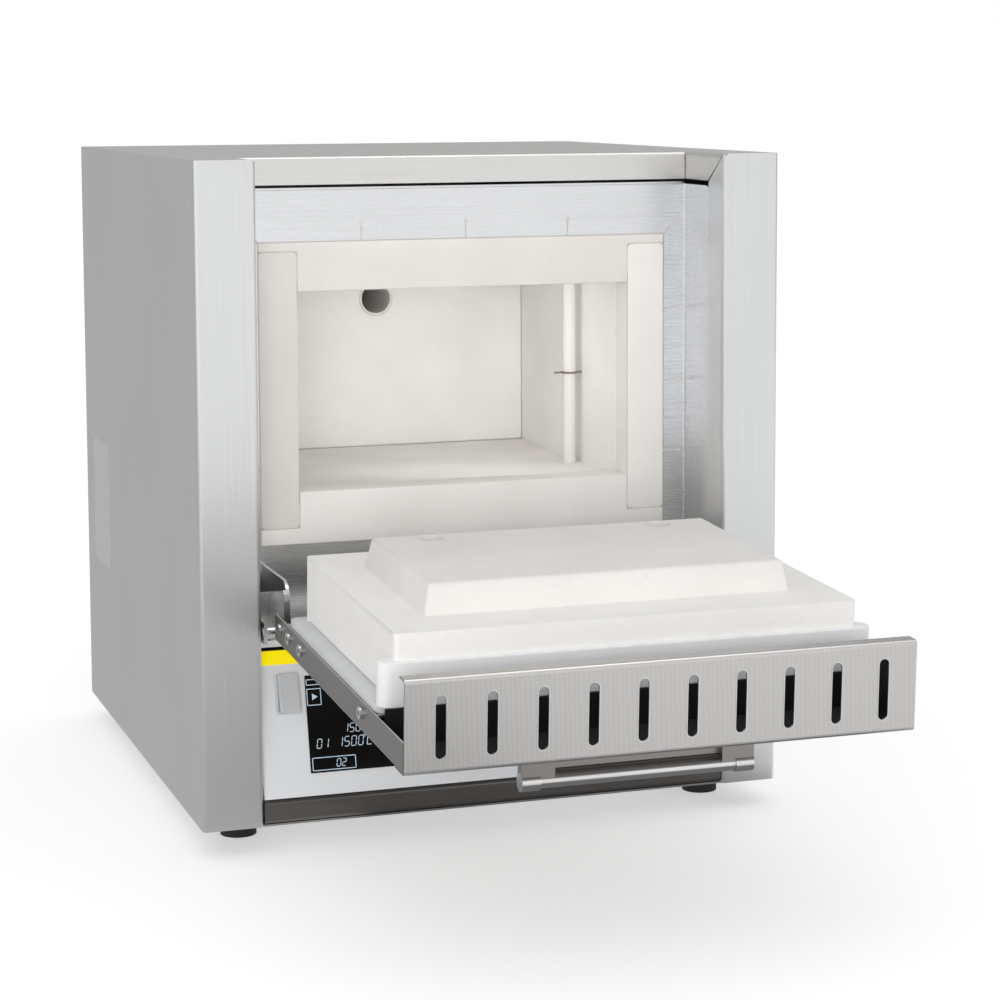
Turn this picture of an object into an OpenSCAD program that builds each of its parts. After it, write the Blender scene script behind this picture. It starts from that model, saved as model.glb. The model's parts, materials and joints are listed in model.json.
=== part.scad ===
// Bench muffle furnace with a flap door that folds down to a shelf.
// X runs across the furnace, Y from front to back, Z up; all sizes in millimetres.

/* [Casing] */
// Width over the two side panels
body_w = 465; // [450:1:520]
// Depth from the column fronts to the rear panel
body_d = 490; // [480:1:560]
// Height of the casing above its feet
body_h = 500; // [495:1:540]
// Thickness of the casing sheet
sheet_t = 1.5; // [1:0.1:2]
// Inside radius of every sheet-metal bend
bend_r = 1.5; // [0.8:0.1:2.5]
// Width of each front column
column_w = 46.5; // [44:0.5:54]
// Depth of the return behind each column's inner edge
column_return = 30; // [20:1:34]
// Depth of the recess that takes the closed door
recess_d = 78; // [74:0.5:90]
// Height of the lintel folded down from the top cover
lintel_h = 22; // [16:1:30]
// Open joint between the lintel and the front frame
shadow_gap = 4; // [2:0.5:8]

/* [Feet] */
// Diameter of a foot
foot_d = 28; // [20:1:40]
// Height of a foot
foot_h = 20; // [12:1:30]
// Distance of the foot centres from the casing sides
foot_side = 40; // [30:1:60]
// Distance of the foot centres from the casing's front and rear
foot_end = 60; // [45:1:90]

/* [Vents] */
// Length of a vent slot in the top cover
vent_len = 18; // [10:1:26]
// Width of a vent slot in the top cover and the rear panel
vent_w = 5; // [3:0.5:7]
// Length of the air slots under the electrical bay
base_vent_len = 30; // [20:1:50]
// Vent slots along the front and rear rows of the ring
vent_cols = 10; // [6:2:12]
// Vent slots along each side of the ring
vent_rows = 6; // [4:1:8]
// Pitch of the slots across the furnace
vent_pitch = 34.8; // [28:0.2:36]
// Pitch of the slots from front to back
vent_row_pitch = 54.6; // [46:0.2:58]
// Distance of the ring's front row from the column fronts
vent_front = 155; // [120:1:180]

// Length of a vent slot in the rear panel
rear_vent_len = 26; // [15:1:30]
// Vent slots in each row of the rear panel
rear_vent_cols = 7; // [3:2:9]
// Pitch of the rear slots across the furnace
rear_vent_pitch = 36; // [32:1:44]
// Pitch of the three rows in each group of rear slots
rear_vent_row = 14; // [9:0.5:18]
// Height of the lower group's first row above the casing's bottom edge
rear_vent_low = 78; // [70:1:95]
// Distance of the upper group's last row from the top of the casing
rear_vent_top = 42; // [30:1:60]

/* [Front frame] */
// Frame sheet that shows between the collar and the recess's side walls
frame_side = 19; // [16:0.5:24]
// Frame sheet that shows above the collar
frame_over = 40; // [34:0.5:50]
// Thickness of the frame sheet
frame_t = 1.2; // [1:0.1:1.5]
// Width of an expansion slit
slit_w = 1.2; // [0.8:0.1:2]
// Length of an expansion slit
slit_len = 13.5; // [8:0.5:14]
// Diameter of the hole that ends a slit
slit_eye = 2.6; // [2:0.1:3]
// Pitch of the slits along the top edge of the window
slit_pitch_x = 85; // [50:1:100]
// Pitch of the slits along the side edges of the window
slit_pitch_z = 58.5; // [40:0.5:70]

/* [Chamber] */
// Depth of the chamber behind the collar
chamber_d = 232; // [180:1:250]
// Height of the chamber floor above the casing's bottom edge
chamber_z = 236; // [234:1:244]
// Step from the chamber floor up to the mouth's lower edge
mouth_lip = 4; // [2:0.5:8]
// Thickness of the chamber's own plates
plate_t = 20; // [16:1:22]
// Thickness of the rear insulation
rear_insulation_t = 50; // [40:1:56]
// Thickness of the inner housing sheet
housing_t = 1.2; // [0.8:0.1:1.5]
// Height of the channels that carry the inner housing
housing_lift = 15; // [10:1:20]
// Width of these channels
lift_w = 30; // [20:1:40]
// Distance of the channels from the housing's sides and ends
lift_inset = 20; // [10:1:40]

/* [Collar] */
// Width of the collar beside the mouth
rim_side = 31; // [26:1:32]
// Height of the collar above the mouth
rim_top = 38; // [26:1:39]
// Height of the collar below the mouth
rim_bottom = 40.5; // [30:0.5:42]
// Depth of the collar bricks
collar_t = 28; // [22:1:36]
// How far the collar stands proud of the frame sheet
collar_proud = 0.5; // [0.3:0.1:2]
// Thickness of the ledge above each jamb brick
jamb_ledge = 7; // [5:0.5:12]
// Thickness of the ledge below each jamb brick
jamb_step = 12; // [8:0.5:16]
// Corner radius of the jamb bricks
jamb_r = 4; // [2:0.5:6]
// Joint between neighbouring bricks
brick_joint = 0.4; // [0.3:0.1:0.8]

/* [Exhaust] */
// Bore of the exhaust tube
exhaust_bore = 26; // [18:1:32]
// Wall of the exhaust tube
exhaust_wall = 2; // [1.5:0.5:4]
// Distance from the chamber's roof down to the middle of the exhaust
exhaust_drop = 29; // [26:1:50]
// Length of the exhaust tube outside the rear panel
exhaust_out = 25; // [15:1:40]

/* [Elements] */
// Diameter of the ceramic tubes that stand in the chamber
tube_d = 11; // [8:0.5:14]
// Distance from a tube's axis to the chamber's side wall
tube_inset = 11; // [10:0.5:18]
// Distance of the tubes behind the collar
tube_back = 78; // [50:1:120]
// Wire diameter of the tube clips
clip_wire = 1.6; // [1.2:0.1:2.2]
// Heating coils in each side plate
coil_count = 5; // [3:1:6]
// Outer diameter of a heating coil
coil_d = 9; // [6:0.5:10]
// Diameter of the thermocouple sheath
probe_d = 6; // [4:0.5:8]
// Diameter of the thermocouple's connection head
probe_head = 20; // [14:1:26]
// Reach of the thermocouple into the chamber
probe_in = 18; // [10:1:30]

/* [Deck and control panel] */
// Height of the deck between the hot box and the electrical bay
deck_z = 139; // [136:1:144]
// Distance of the deck's front edge behind the column fronts
deck_y = 27; // [24:0.5:28]
// Height of the lip folded down along the deck's front edge
deck_lip = 8; // [5:0.5:12]
// Height of the bottom rail
rail_h = 18; // [12:1:26]
// Depth of the bottom rail's flanges
rail_flange = 16; // [10:1:24]
// Lean of the control panel from upright
panel_lean = 14; // [8:1:16]
// Thickness of the control panel
panel_t = 2; // [1.5:0.5:3]
// Setback of the control panel's lower edge behind the column fronts
panel_y = 1; // [0:0.5:4]
// Gap between the control panel and the deck's lip above it
panel_gap = 3; // [2:0.5:8]
// Height of the warning band along the control panel's top edge
band_h = 10.8; // [8:0.2:14]
// Thickness of the warning band
band_t = 0.4; // [0.2:0.1:1]

/* [Display and switch] */
// Width of the display glass
display_w = 120; // [80:1:140]
// Height of the display glass
display_h = 73; // [50:1:76]
// How far the glass stands proud of the panel
display_proud = 0.8; // [0.4:0.1:2]
// Gap between the switch bezel and the display glass
display_gap = 4; // [3:0.5:6]
// Height of the display's centre up the control panel
display_v = 53.5; // [48:0.5:58]
// Distance from the control panel's left edge to the switch's centre
switch_edge = 23.4; // [20:0.1:28]
// Height of the switch's centre up the control panel
switch_v = 77; // [60:0.5:80]
// Width of the switch bezel
bezel_w = 20; // [19:0.5:24]
// Height of the switch bezel
bezel_h = 30; // [28:0.5:34]
// Width of the bezel's rim
bezel_rim = 2; // [1.5:0.5:2.5]
// Tilt of the rocker to either side of its middle
rocker_tilt = 8; // [5:1:10]

/* [Electrical bay] */
// Distance of the relay and the terminals to the right of the middle
bay_x = 95; // [60:1:140]
// Distance of the terminals' centre from the rear panel
terminal_back = 70; // [40:1:90]
// Length of the terminal block
terminal_len = 84; // [60:1:110]
// Depth of the programmer's housing behind the panel
module_d = 30; // [20:1:45]
// Depth of the terminal block
terminal_d = 32; // [24:1:40]
// Height of the terminal block
terminal_h = 24; // [18:1:32]
// Pitch of the terminals
terminal_pitch = 13; // [8:0.5:13]
// Distance of the relay's centre from the rear panel
relay_back = 190; // [130:1:260]
// Width of the relay
relay_w = 60; // [40:1:80]
// Depth of the relay
relay_d = 50; // [40:1:70]
// Height of the relay
relay_h = 68; // [50:1:90]
// Distance of the appliance inlet to the left of the middle
inlet_x = 150; // [100:1:180]
// Height of the inlet's centre above the casing's bottom edge
inlet_z = 48; // [30:1:52]
// Width of the inlet's cup
inlet_w = 28; // [27:0.5:30]
// Height of the inlet's cup
inlet_h = 31; // [28:0.5:33]

/* [Door] */
// Setback of the closed door's face behind the column fronts
door_setback = 3; // [0:0.5:6]
// Gap between the door pan and each column
door_side_gap = 9; // [6:0.5:12]
// Gap between the closed door's end and the top of the casing
door_top_gap = 3; // [1:0.5:8]
// Thickness of the door sheet
door_t = 1.2; // [1:0.1:1.5]
// Height of the pan's side flanges
flange_h = 21; // [16:0.5:22]
// Height of the slotted end panel
end_panel_h = 62; // [50:1:66]
// Depth of the lip folded back from the end panel
end_lip = 11.5; // [6:0.5:14]
// Air slots in the end panel
slot_count = 10; // [6:1:10]
// Pitch of the air slots
slot_pitch = 34.05; // [28:0.05:35]
// Width of an air slot
slot_w = 7; // [4:0.5:10]
// Length of an air slot
slot_len = 41.5; // [30:0.5:44]
// Height of the slots' lower ends above the pan's face
slot_low = 9.5; // [6:0.5:12]
// Angle by which the open door hangs below level
door_droop = 3; // [0:0.5:4]

/* [Door insulation] */
// Thickness of the board between the brick and its supports
board_t = 6; // [3:0.5:6.5]
// Corner radius of the board and the strip
board_r = 8; // [4:1:10]
// Distance from the board's edge to the pan's flange
board_gap = 0.8; // [0.5:0.1:2]
// Board left standing past the brick at the hinge end
board_rear = 10; // [5:1:16]
// Thickness of the door brick
brick_t = 48; // [42:1:52]
// Width of the fibre strip let into the brick's far edge
strip_w = 17; // [12:1:24]
// Height of the fibre strip
strip_h = 30; // [20:1:36]
// Distance by which the strip stands past the brick
strip_proud = 5; // [2:1:10]
// Distance by which the brick stays inside the collar's outline
brick_inset = 2.5; // [1:0.5:5]
// Gap between the closed door brick and the collar
seal_gap = 0.5; // [0.3:0.1:1]
// Height of the tapered plug
plug_t = 21; // [16:1:26]
// Clearance of the plug's base in the mouth
plug_gap = 3.5; // [2.5:0.5:6]
// Taper of the plug over its height
plug_taper = 4; // [2:0.5:8]
// Corner radius of the brick's upright edges
brick_r = 4; // [2:0.5:6]
// Diameter of the ceramic anchor caps
anchor_d = 19; // [14:1:22]
// Diameter of the anchor shanks
anchor_shank = 6; // [4:0.5:8]
// Distance of the anchors from the furnace's middle
anchor_x = 87.5; // [60:0.5:100]
// Distance of the anchors from the plug's hinge-side edge
anchor_edge = 15; // [13:0.5:24]

/* [Hinges] */
// Depth of the hinge axis behind the column fronts
hinge_y = 7; // [6:0.5:9]
// Height of the hinge axis above the deck
hinge_rise = 8; // [7.5:0.5:9]
// Diameter of the hinge pins
pin_d = 8; // [6:0.5:9]
// Running clearance round the hinge pins
pin_play = 0.05; // [0.03:0.01:0.08]
// Thickness of the hinge arms
arm_t = 2.5; // [2:0.1:3]
// Thickness of the bracket sheet
bracket_t = 2.5; // [2:0.1:3]
// Gap between each arm and its bracket ear
arm_gap = 0.5; // [0.3:0.1:1]
// Distance from the pan's side to the outer face of each arm's eye
arm_edge = 13.5; // [13:0.5:16]
// Height of the brackets above the deck
bracket_h = 34; // [28:1:36]
// Height of the bracket's cheek above the deck
cheek_h = 46; // [40:1:47]
// Radius of the cheek's upper front corner
cheek_r = 14; // [4:1:18]
// Width of the strip folded along the cheek's front edge
cheek_strip = 4.6; // [3.5:0.1:6]
// Depth of the bracket's front plate behind the column fronts
bracket_y = 28; // [27:0.5:32]
// Outer radius of the eye round each hinge pin
eye_r = 9; // [7:0.5:9]
// Diameter of the door screws' shanks
screw_d = 4; // [3:0.5:5]
// Diameter of the door screws' heads
screw_head = 8.5; // [7:0.5:10]

/* [Handle] */
// Diameter of the handle bar
bar_d = 10; // [8:0.5:14]
// Length of the handle bar over its end sleeves
bar_len = 165; // [120:1:200]
// Distance from the door's face to the bar's centre
bar_off = 28.4; // [24:0.2:34]
// Distance from the bar's centre to the door's far end
bar_back = 52; // [40:1:70]
// Width of a handle post
post_w = 23; // [14:1:26]
// Thickness of a handle post
post_t = 9; // [6:0.5:12]
// Length of an end sleeve
sleeve_len = 13; // [8:0.5:16]

/* [Hidden] */
$fn = 48;
BEND_STEPS = 4;

// --- casing -----------------------------------------------------------------
seat = 0.2;                                        // slack where one sheet sits against another
half_w = body_w / 2;
inner_x = half_w - column_w;                       // inner face of each column
wall_x = inner_x + frame_t;                        // outer face of the recess side walls
sheet_x = half_w - sheet_t - seat;                 // edge of the plates between the side panels
rear_y = body_d - sheet_t;                         // inner face of the rear panel
flange_y = rear_y - seat;                          // rear face of the side panels' flanges
rear_flange = 16;
plate_y = flange_y - sheet_t - bend_r - seat;         // rear edge of the plates between the flanges
lintel_z = body_h - lintel_h;
frame_top = lintel_z - shadow_gap;
wall_start = column_return + 3;                    // front edge of the recess side walls
front_x = inner_x - 0.6;                           // edge of the parts between the columns
rear_screw_x = half_w - 9;
rear_screws = [40, body_h / 2, body_h - 40];
vent_ring_x = (vent_cols - 1) * vent_pitch / 2;

// --- hot box ----------------------------------------------------------------
collar_x = inner_x - frame_side;
collar_top = frame_top - frame_over;
half_c = collar_x - rim_side;                      // half of the chamber's width
mouth_z = chamber_z + mouth_lip;
mouth_top = collar_top - rim_top;
chamber_h = mouth_top - chamber_z;
collar_z = mouth_z - rim_bottom;
collar_y = recess_d - collar_proud;
frame_back = recess_d + frame_t;
chamber_y = collar_y + collar_t;
chamber_end = chamber_y + chamber_d;
plate_end = chamber_end + plate_t;
housing_end = plate_end + rear_insulation_t;
housing_x = inner_x - housing_t;                   // inner face of the inner housing
housing_top = frame_top - frame_t - bend_r - seat - housing_t;
housing_z = deck_z + housing_lift + housing_t;     // inner face of the housing's floor
shell_x = half_c + plate_t;
shell_z = chamber_z - plate_t;
shell_top = mouth_top + plate_t;
window_gap = 0.6;
exhaust_h = mouth_top - exhaust_drop;
exhaust_r = exhaust_bore / 2;
exhaust_hole = exhaust_bore + 2 * exhaust_wall + 0.6; // clears the tube by 0.3 all round
probe_y = chamber_end - 38;
tube_x = half_c - tube_inset;
tube_y = chamber_y + tube_back;
coil_x = half_c + plate_t * 0.55;
coil_pitch = chamber_h / coil_count;

// --- front of the electrical bay ---------------------------------------------
deck_low = deck_z - sheet_t;
base_t = sheet_t;
rail_low = base_t + seat;
rail_top = rail_low + rail_h;
panel_z = rail_top + panel_t * sin(panel_lean) + seat;
panel_len = (deck_z - deck_lip - panel_gap - panel_z) / cos(panel_lean);
glass_t = 3;
glass_gap = 0.3;
switch_x = front_x - switch_edge;
display_x = switch_x - bezel_w / 2 - display_gap - display_w / 2;
module_border = display_gap;                       // controller module round the glass
rocker_r = bezel_h / 2 - bezel_rim - 0.4;          // swing radius of the rocker's ends
rocker_pivot = -3;
rocker_pin = 3;
case_wall = 1;                                     // wall of the switch case
case_depth = 18;

// --- door: X across, -Y away from the hinge axis, +Z up, all before the droop --
hinge_z = deck_z + hinge_rise;
door_x = inner_x - door_side_gap;
door_end = body_h - door_top_gap - hinge_z;
skin_w = door_setback - hinge_y;                   // door face under the hinge axis
inside_w = skin_w + door_t;
face_w = collar_y - seal_gap - hinge_y;            // brick face that meets the collar
brick_w = face_w - brick_t;
board_w = brick_w - board_t;
plug_top = face_w + plug_t;
pan_start = 12;                                    // hinge end of the door pan
brick_x = collar_x - brick_inset;
brick_near = collar_z + brick_inset - hinge_z;
brick_far = collar_top - brick_inset - hinge_z;
board_x = door_x - door_t - board_gap;
plug_x = half_c - plug_gap;
plug_near = mouth_z + plug_gap - hinge_z;
plug_far = mouth_top - plug_gap - hinge_z;
anchor_u = plug_near + anchor_edge;
cap_w = face_w + 9;                                // seat of the anchor caps in the plug
bar_w = skin_w - bar_off;
bar_u = door_end - bar_back;
flange_in = door_x - door_t;
strip_far = brick_far + strip_proud;               // far face of the fibre strip
strip_near = strip_far - strip_w;
board_far = strip_near + strip_w * 0.4;            // board's end, under the strip
arm_screws = [30, 57, 91];                         // rear screws, from the hinge axis
arm_end = arm_screws[2] + 12;
support_screw = door_end - 98;
support_len = 60;
support_t = 1.5;
angle_leg = 26;                                    // level leg of the side angles
cross_w = 24;                                      // width of the channels across the pan
cross_x = flange_in - angle_leg - 5;               // end of those channels
screw_w = skin_w + 13.5;
nut_t = 3.2;
arm_x = door_x - arm_edge;                         // outer face of the arms' eyes
ear_x = arm_x + arm_gap;                           // inner face of the bracket's cheek
bracket_x = front_x - 1.5;                         // outer face of the bracket
cheek_top = deck_z + cheek_h;
cheek_slot = cheek_h - hinge_rise + 3;             // length cut from the door for the cheek

// The origin is under the middle of the footprint with the door open.
lip_r = bend_r + door_t;
door_front = hinge_y - (door_end - lip_r) * cos(door_droop)
    - (skin_w + end_panel_h - lip_r) * sin(door_droop) - lip_r;
front_y = -(door_front + body_d + exhaust_out) / 2;

// --- shared shapes ------------------------------------------------------------
// Moves a shape from the casing's frame, whose zero is the foot of the column
// fronts, to the part's own frame.
module in_casing() { translate([0, front_y, foot_h]) children(); }

// Moves a shape from the door's own level frame to the open door.
module on_door() {
    in_casing() translate([0, hinge_y, hinge_z]) rotate([door_droop, 0, 0]) children();
}

// Moves a shape onto the leaning control panel: Y runs up its face, Z out of it.
module on_panel() {
    in_casing() translate([0, panel_y, panel_z]) rotate([90 - panel_lean, 0, 0]) children();
}

module both_sides() {
    children();
    mirror([1, 0, 0]) children();
}

module block(x, y, z) {
    translate([x[0], y[0], z[0]]) cube([x[1] - x[0], y[1] - y[0], z[1] - z[0]]);
}

// A rectangle with round corners from true arcs, for outlines that are cut exactly.
module arc_rect(x, y, r) {
    translate([x[0] + r, y[0]]) square([x[1] - x[0] - 2 * r, y[1] - y[0]]);
    translate([x[0], y[0] + r]) square([x[1] - x[0], y[1] - y[0] - 2 * r]);
    for (cx = [x[0] + r, x[1] - r], cy = [y[0] + r, y[1] - r]) translate([cx, cy]) circle(r, $fn = 24);
}

// A slot outline with round ends, centred, along X.
module slot(len, w) {
    square([len - w, w], center = true);
    for (side = [-1, 1]) translate([side * (len - w) / 2, 0]) circle(w / 2, $fn = 16);
}

// A bar that runs along X between two places.
module rod_x(x, d) { translate([x[0], 0, 0]) rotate([0, 90, 0]) cylinder(h = x[1] - x[0], d = d); }

// A bar that runs along Y between two places.
module rod_y(y, d) { translate([0, y[0], 0]) rotate([-90, 0, 0]) cylinder(h = y[1] - y[0], d = d); }

// --- folded sheet ---------------------------------------------------------------
function unit(v) = v / norm(v);
function left_of(v) = [-v.y, v.x];

// Points of one face of the sheet round the bend at b, s to the left of the path.
function bend(a, b, c, s, t) =
    let (n1 = left_of(unit(b - a)), n2 = left_of(unit(c - b)),
         turn = sign(n1.x * n2.y - n1.y * n2.x),
         o = turn * (bend_r + max(turn * t, 0)),
         centre = b + o * (n1 + n2) / (1 + n1 * n2),
         from = atan2(n1.y, n1.x), sweep = turn * acos(n1 * n2))
    [for (k = [0:BEND_STEPS]) let (q = from + sweep * k / BEND_STEPS)
        centre + (s - o) * [cos(q), sin(q)]];

function sheet_face(path, s, t) =
    let (last = len(path) - 1)
    concat([path[0] + s * left_of(unit(path[1] - path[0]))],
           [for (i = [1:last - 1]) each bend(path[i - 1], path[i], path[i + 1], s, t)],
           [path[last] + s * left_of(unit(path[last] - path[last - 1]))]);

function reversed(list) = [for (i = [len(list) - 1:-1:0]) list[i]];

// Section of a folded sheet whose one face follows the path. Its metal lies on the
// path's left, or on its right where the thickness is negative.
module folded(path, t) {
    polygon(concat(sheet_face(path, 0, t), reversed(sheet_face(path, t, t))));
}

// Extrudes a section drawn in Y and Z along X.
module along_x(x) {
    translate([x[0], 0, 0]) rotate([90, 0, 90]) linear_extrude(x[1] - x[0]) children();
}

// Extrudes a section drawn in X and Z along Y.
module along_y(y) {
    translate([0, y[1], 0]) rotate([90, 0, 0]) linear_extrude(y[1] - y[0]) children();
}

// --- casing ---------------------------------------------------------------------
// Holes of the screws that hold the rear panel to the side panels.
module rear_screw_holes() {
    both_sides() for (z = rear_screws) translate([rear_screw_x, 0, z]) rod_y([flange_y - 3, body_d + 1], screw_d + 0.2);
}

// One folded sheet: side wall, front column, the return behind it and the rear flange.
module side_panel() {
    color("#b2b1af") in_casing() difference() {
        linear_extrude(body_h)
            folded([[inner_x, column_return], [inner_x, 0], [half_w, 0], [half_w, flange_y],
                    [half_w - rear_flange, flange_y]], sheet_t);
        // slanted seam to the top cover's flap
        along_x([inner_x - 1, inner_x + sheet_t + bend_r + 0.1])
            polygon([[-1, body_h + 1], [-1, body_h - sheet_t], [sheet_t, body_h - sheet_t],
                     [column_return + 1, lintel_z - sheet_t], [column_return + 1, body_h + 1]]);
        // the rear flange stops below the top plate, which runs over it
        block([half_w - rear_flange - 1, half_w - sheet_t], [flange_y - sheet_t - bend_r, flange_y + 1],
              [body_h - sheet_t - seat, body_h + 1]);
        rear_screw_holes();
    }
}

module left_side_panel() { mirror([1, 0, 0]) side_panel(); }
module right_side_panel() { side_panel(); }

// Top plate with a ring of vents, the lintel and the two flaps beside the recess.
module top_cover() {
    color("#aeaba8") in_casing() {
        translate([0, 0, body_h - sheet_t]) linear_extrude(sheet_t) difference() {
            union() {
                translate([-sheet_x, recess_d + sheet_t + bend_r])
                    square([2 * sheet_x, flange_y - recess_d - sheet_t - bend_r]);
                both_sides()
                    polygon([[inner_x + sheet_t + bend_r, sheet_t + seat], [sheet_x - bend_r, sheet_t + seat],
                             [sheet_x, sheet_t + seat + bend_r], [sheet_x, recess_d + 10],
                             [inner_x + sheet_t + bend_r, recess_d + 10]]);
            }
            for (i = [0:vent_cols - 1], j = [0, vent_rows - 1])
                translate([i * vent_pitch - vent_ring_x, vent_front + j * vent_row_pitch]) slot(vent_len, vent_w);
            for (side = [-1, 1], j = [1:vent_rows - 2])
                translate([side * vent_ring_x, vent_front + j * vent_row_pitch]) slot(vent_len, vent_w);
        }
        along_x([0.4 - inner_x, inner_x - 0.4])
            folded([[recess_d, lintel_z], [recess_d, body_h], [recess_d + 12, body_h]], -sheet_t);
        both_sides() intersection() {
            along_y([0, recess_d + 5])
                folded([[inner_x, lintel_z], [inner_x, body_h], [inner_x + 12, body_h]], -sheet_t);
            along_x([inner_x - 1, inner_x + 13])
                polygon([[recess_d + 5, lintel_z], [column_return + 1.5, lintel_z], [sheet_t + 0.8, body_h - sheet_t],
                         [sheet_t + 0.8, body_h], [recess_d + 5, body_h]]);
        }
    }
}

// Flat rear panel with vents for the bay and the air gap, the exhaust and the inlet.
module rear_panel() {
    color("#b2b1af") difference() {
        in_casing() block([0.6 - half_w, half_w - 0.6], [rear_y, body_d], [0.6, body_h - 0.6]);
        in_casing() translate([0, 0, exhaust_h]) rod_y([rear_y - 1, body_d + 1], exhaust_hole);
        inlet_place() block([-inlet_w / 2 - 0.2, inlet_w / 2 + 0.2], [-sheet_t - 1, 1], [-inlet_h / 2 - 0.2, inlet_h / 2 + 0.2]);
        in_casing() along_y([rear_y - 1, body_d + 1])
            for (i = [0:rear_vent_cols - 1], j = [0:2], z = [rear_vent_low, body_h - rear_vent_top - 2 * rear_vent_row])
                translate([(i - (rear_vent_cols - 1) / 2) * rear_vent_pitch, z + j * rear_vent_row])
                    slot(rear_vent_len, vent_w);
        in_casing() rear_screw_holes();
    }
}

// Floor of the electrical bay, with upturned sides.
module base_plate() {
    color("#9c9b99") in_casing() {
        difference() {
            along_y([wall_start, plate_y])
                folded([[-sheet_x, 15], [-sheet_x, 0], [sheet_x, 0], [sheet_x, 15]], base_t);
            // cooling-air inlets under the bay
            both_sides() for (x = [0.4, 0.65] * sheet_x, y = [0.22, 0.78] * body_d) translate([x, y, -1])
                linear_extrude(base_t + 2) slot(base_vent_len, vent_w);
        }
        block([-front_x, front_x], [sheet_t, wall_start + 1], [0, base_t]);
    }
}

// Four rubber feet with a step where they meet the casing.
module feet() {
    color("#1c1c1c") in_casing() both_sides() for (y = [foot_end, body_d - foot_end])
        translate([half_w - foot_side, y, 0]) {
            translate([0, 0, -foot_h]) cylinder(h = foot_h - 4, d = foot_d);
            translate([0, 0, -5]) cylinder(h = 5, d = foot_d - 5);
        }
}

module bottom_rail() {
    color("#5a5856") in_casing() along_x([-front_x, front_x])
        folded([[rail_flange, rail_low], [0, rail_low], [0, rail_top], [rail_flange, rail_top]], -sheet_t);
}

// Deck between the hot box and the bay; its front edge is the recess floor.
module deck_plate() {
    color("#c4c5c7") in_casing() {
        along_x([-front_x, front_x])
            folded([[deck_y, deck_z - deck_lip], [deck_y, deck_z], [wall_start + 1, deck_z]], -sheet_t);
        along_y([wall_start, plate_y])
            folded([[-sheet_x, deck_z - 14], [-sheet_x, deck_z], [sheet_x, deck_z], [sheet_x, deck_z - 14]], -sheet_t);
    }
}

// --- hot box ------------------------------------------------------------------------
// An expansion slit that starts at the window's edge and ends in a small hole, along Z.
module slit() {
    translate([-slit_w / 2, -5]) square([slit_w, slit_len + 5]);
    translate([0, slit_len]) circle(slit_eye / 2, $fn = 16);
}

// Sheet round the collar with the recess side walls folded forward.
module front_frame() {
    window_x = collar_x + window_gap;
    window_top = collar_top + window_gap;
    middle = (collar_z + collar_top) / 2;
    color("#d0d1d3") in_casing() difference() {
        union() {
            translate([0, 0, deck_z]) linear_extrude(frame_top - deck_z)
                folded([[-inner_x, wall_start], [-inner_x, recess_d], [inner_x, recess_d], [inner_x, wall_start]],
                       frame_t);
            along_x([-inner_x + 3, inner_x - 3])
                folded([[recess_d, frame_top - 12], [recess_d, frame_top], [recess_d + 14, frame_top]], -frame_t);
        }
        block([-inner_x - 3, inner_x + 3], [recess_d - 1, recess_d + 4], [frame_top - 0.001, frame_top + 1]);
        along_y([recess_d - 1, recess_d + 4]) {
            translate([-window_x, collar_z - window_gap]) square([2 * window_x, window_top - collar_z + window_gap]);
            for (x = [-slit_pitch_x, 0, slit_pitch_x]) translate([x, window_top]) slit();
            for (side = [-1, 1]) {
                for (i = [-1:1]) translate([side * window_x, middle + i * slit_pitch_z]) rotate(-90 * side) slit();
                translate([side * window_x, window_top]) rotate(-42 * side) slit();
            }
        }
    }
}

// Inner housing round the insulation; its open front meets the frame.
module inner_housing() {
    color("#a9a9a8") in_casing() difference() {
        block([-housing_x - housing_t, housing_x + housing_t], [frame_back + seat, housing_end + housing_t],
              [housing_z - housing_t, housing_top + housing_t]);
        block([-housing_x, housing_x], [frame_back - 1, housing_end], [housing_z, housing_top]);
        translate([0, 0, exhaust_h])
            rod_y([housing_end - 1, housing_end + 5], exhaust_hole);
        translate([0, probe_y, housing_top - 1]) cylinder(h = 5, d = probe_d + 0.6);
    }
}

// Channels that carry the inner housing above the deck.
module housing_supports() {
    color("#8f8f8e") in_casing() for (y = [frame_back + lift_inset, housing_end - lift_inset - lift_w])
        along_x([lift_inset - housing_x, housing_x - lift_inset])
            folded([[y + lift_w, deck_z], [y, deck_z], [y, housing_z - housing_t], [y + lift_w, housing_z - housing_t]],
                   -sheet_t);
}

// The collar's outline outside its bricks, as room inside the insulation.
module collar_room() {
    block([-collar_x - brick_joint, collar_x + brick_joint], [recess_d - 5, chamber_y],
          [collar_z - brick_joint, collar_top + brick_joint]);
}

module collar_top_brick() {
    color("#e5e2de") in_casing() {
        block([-half_c, half_c], [collar_y, chamber_y], [mouth_top, collar_top]);
        block([-collar_x, collar_x], [collar_y, chamber_y], [collar_top - jamb_ledge, collar_top]);
    }
}

module collar_bottom_brick() {
    color("#e5e2de") in_casing() {
        block([-half_c, half_c], [collar_y, chamber_y], [collar_z, mouth_z]);
        block([-collar_x, collar_x], [collar_y, chamber_y], [collar_z, collar_z + jamb_step]);
    }
}

module jamb_brick() {
    color("#e8e5e1") in_casing() along_y([collar_y, chamber_y]) difference() {
        arc_rect([half_c + brick_joint, collar_x],
                 [collar_z + jamb_step + brick_joint, collar_top - jamb_ledge - brick_joint], jamb_r);
    }
}

module left_jamb_brick() { mirror([1, 0, 0]) jamb_brick(); }
module right_jamb_brick() { jamb_brick(); }

module chamber_floor() {
    color("#dcd8d2") in_casing() block([-shell_x, shell_x], [chamber_y, plate_end], [shell_z, chamber_z]);
}

module chamber_roof() {
    color("#dcd8d2") in_casing() difference() {
        block([-shell_x, shell_x], [chamber_y, plate_end], [mouth_top, shell_top]);
        translate([0, probe_y, mouth_top - 1]) cylinder(h = plate_t + 2, d = probe_d + 0.6);
    }
}

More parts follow.
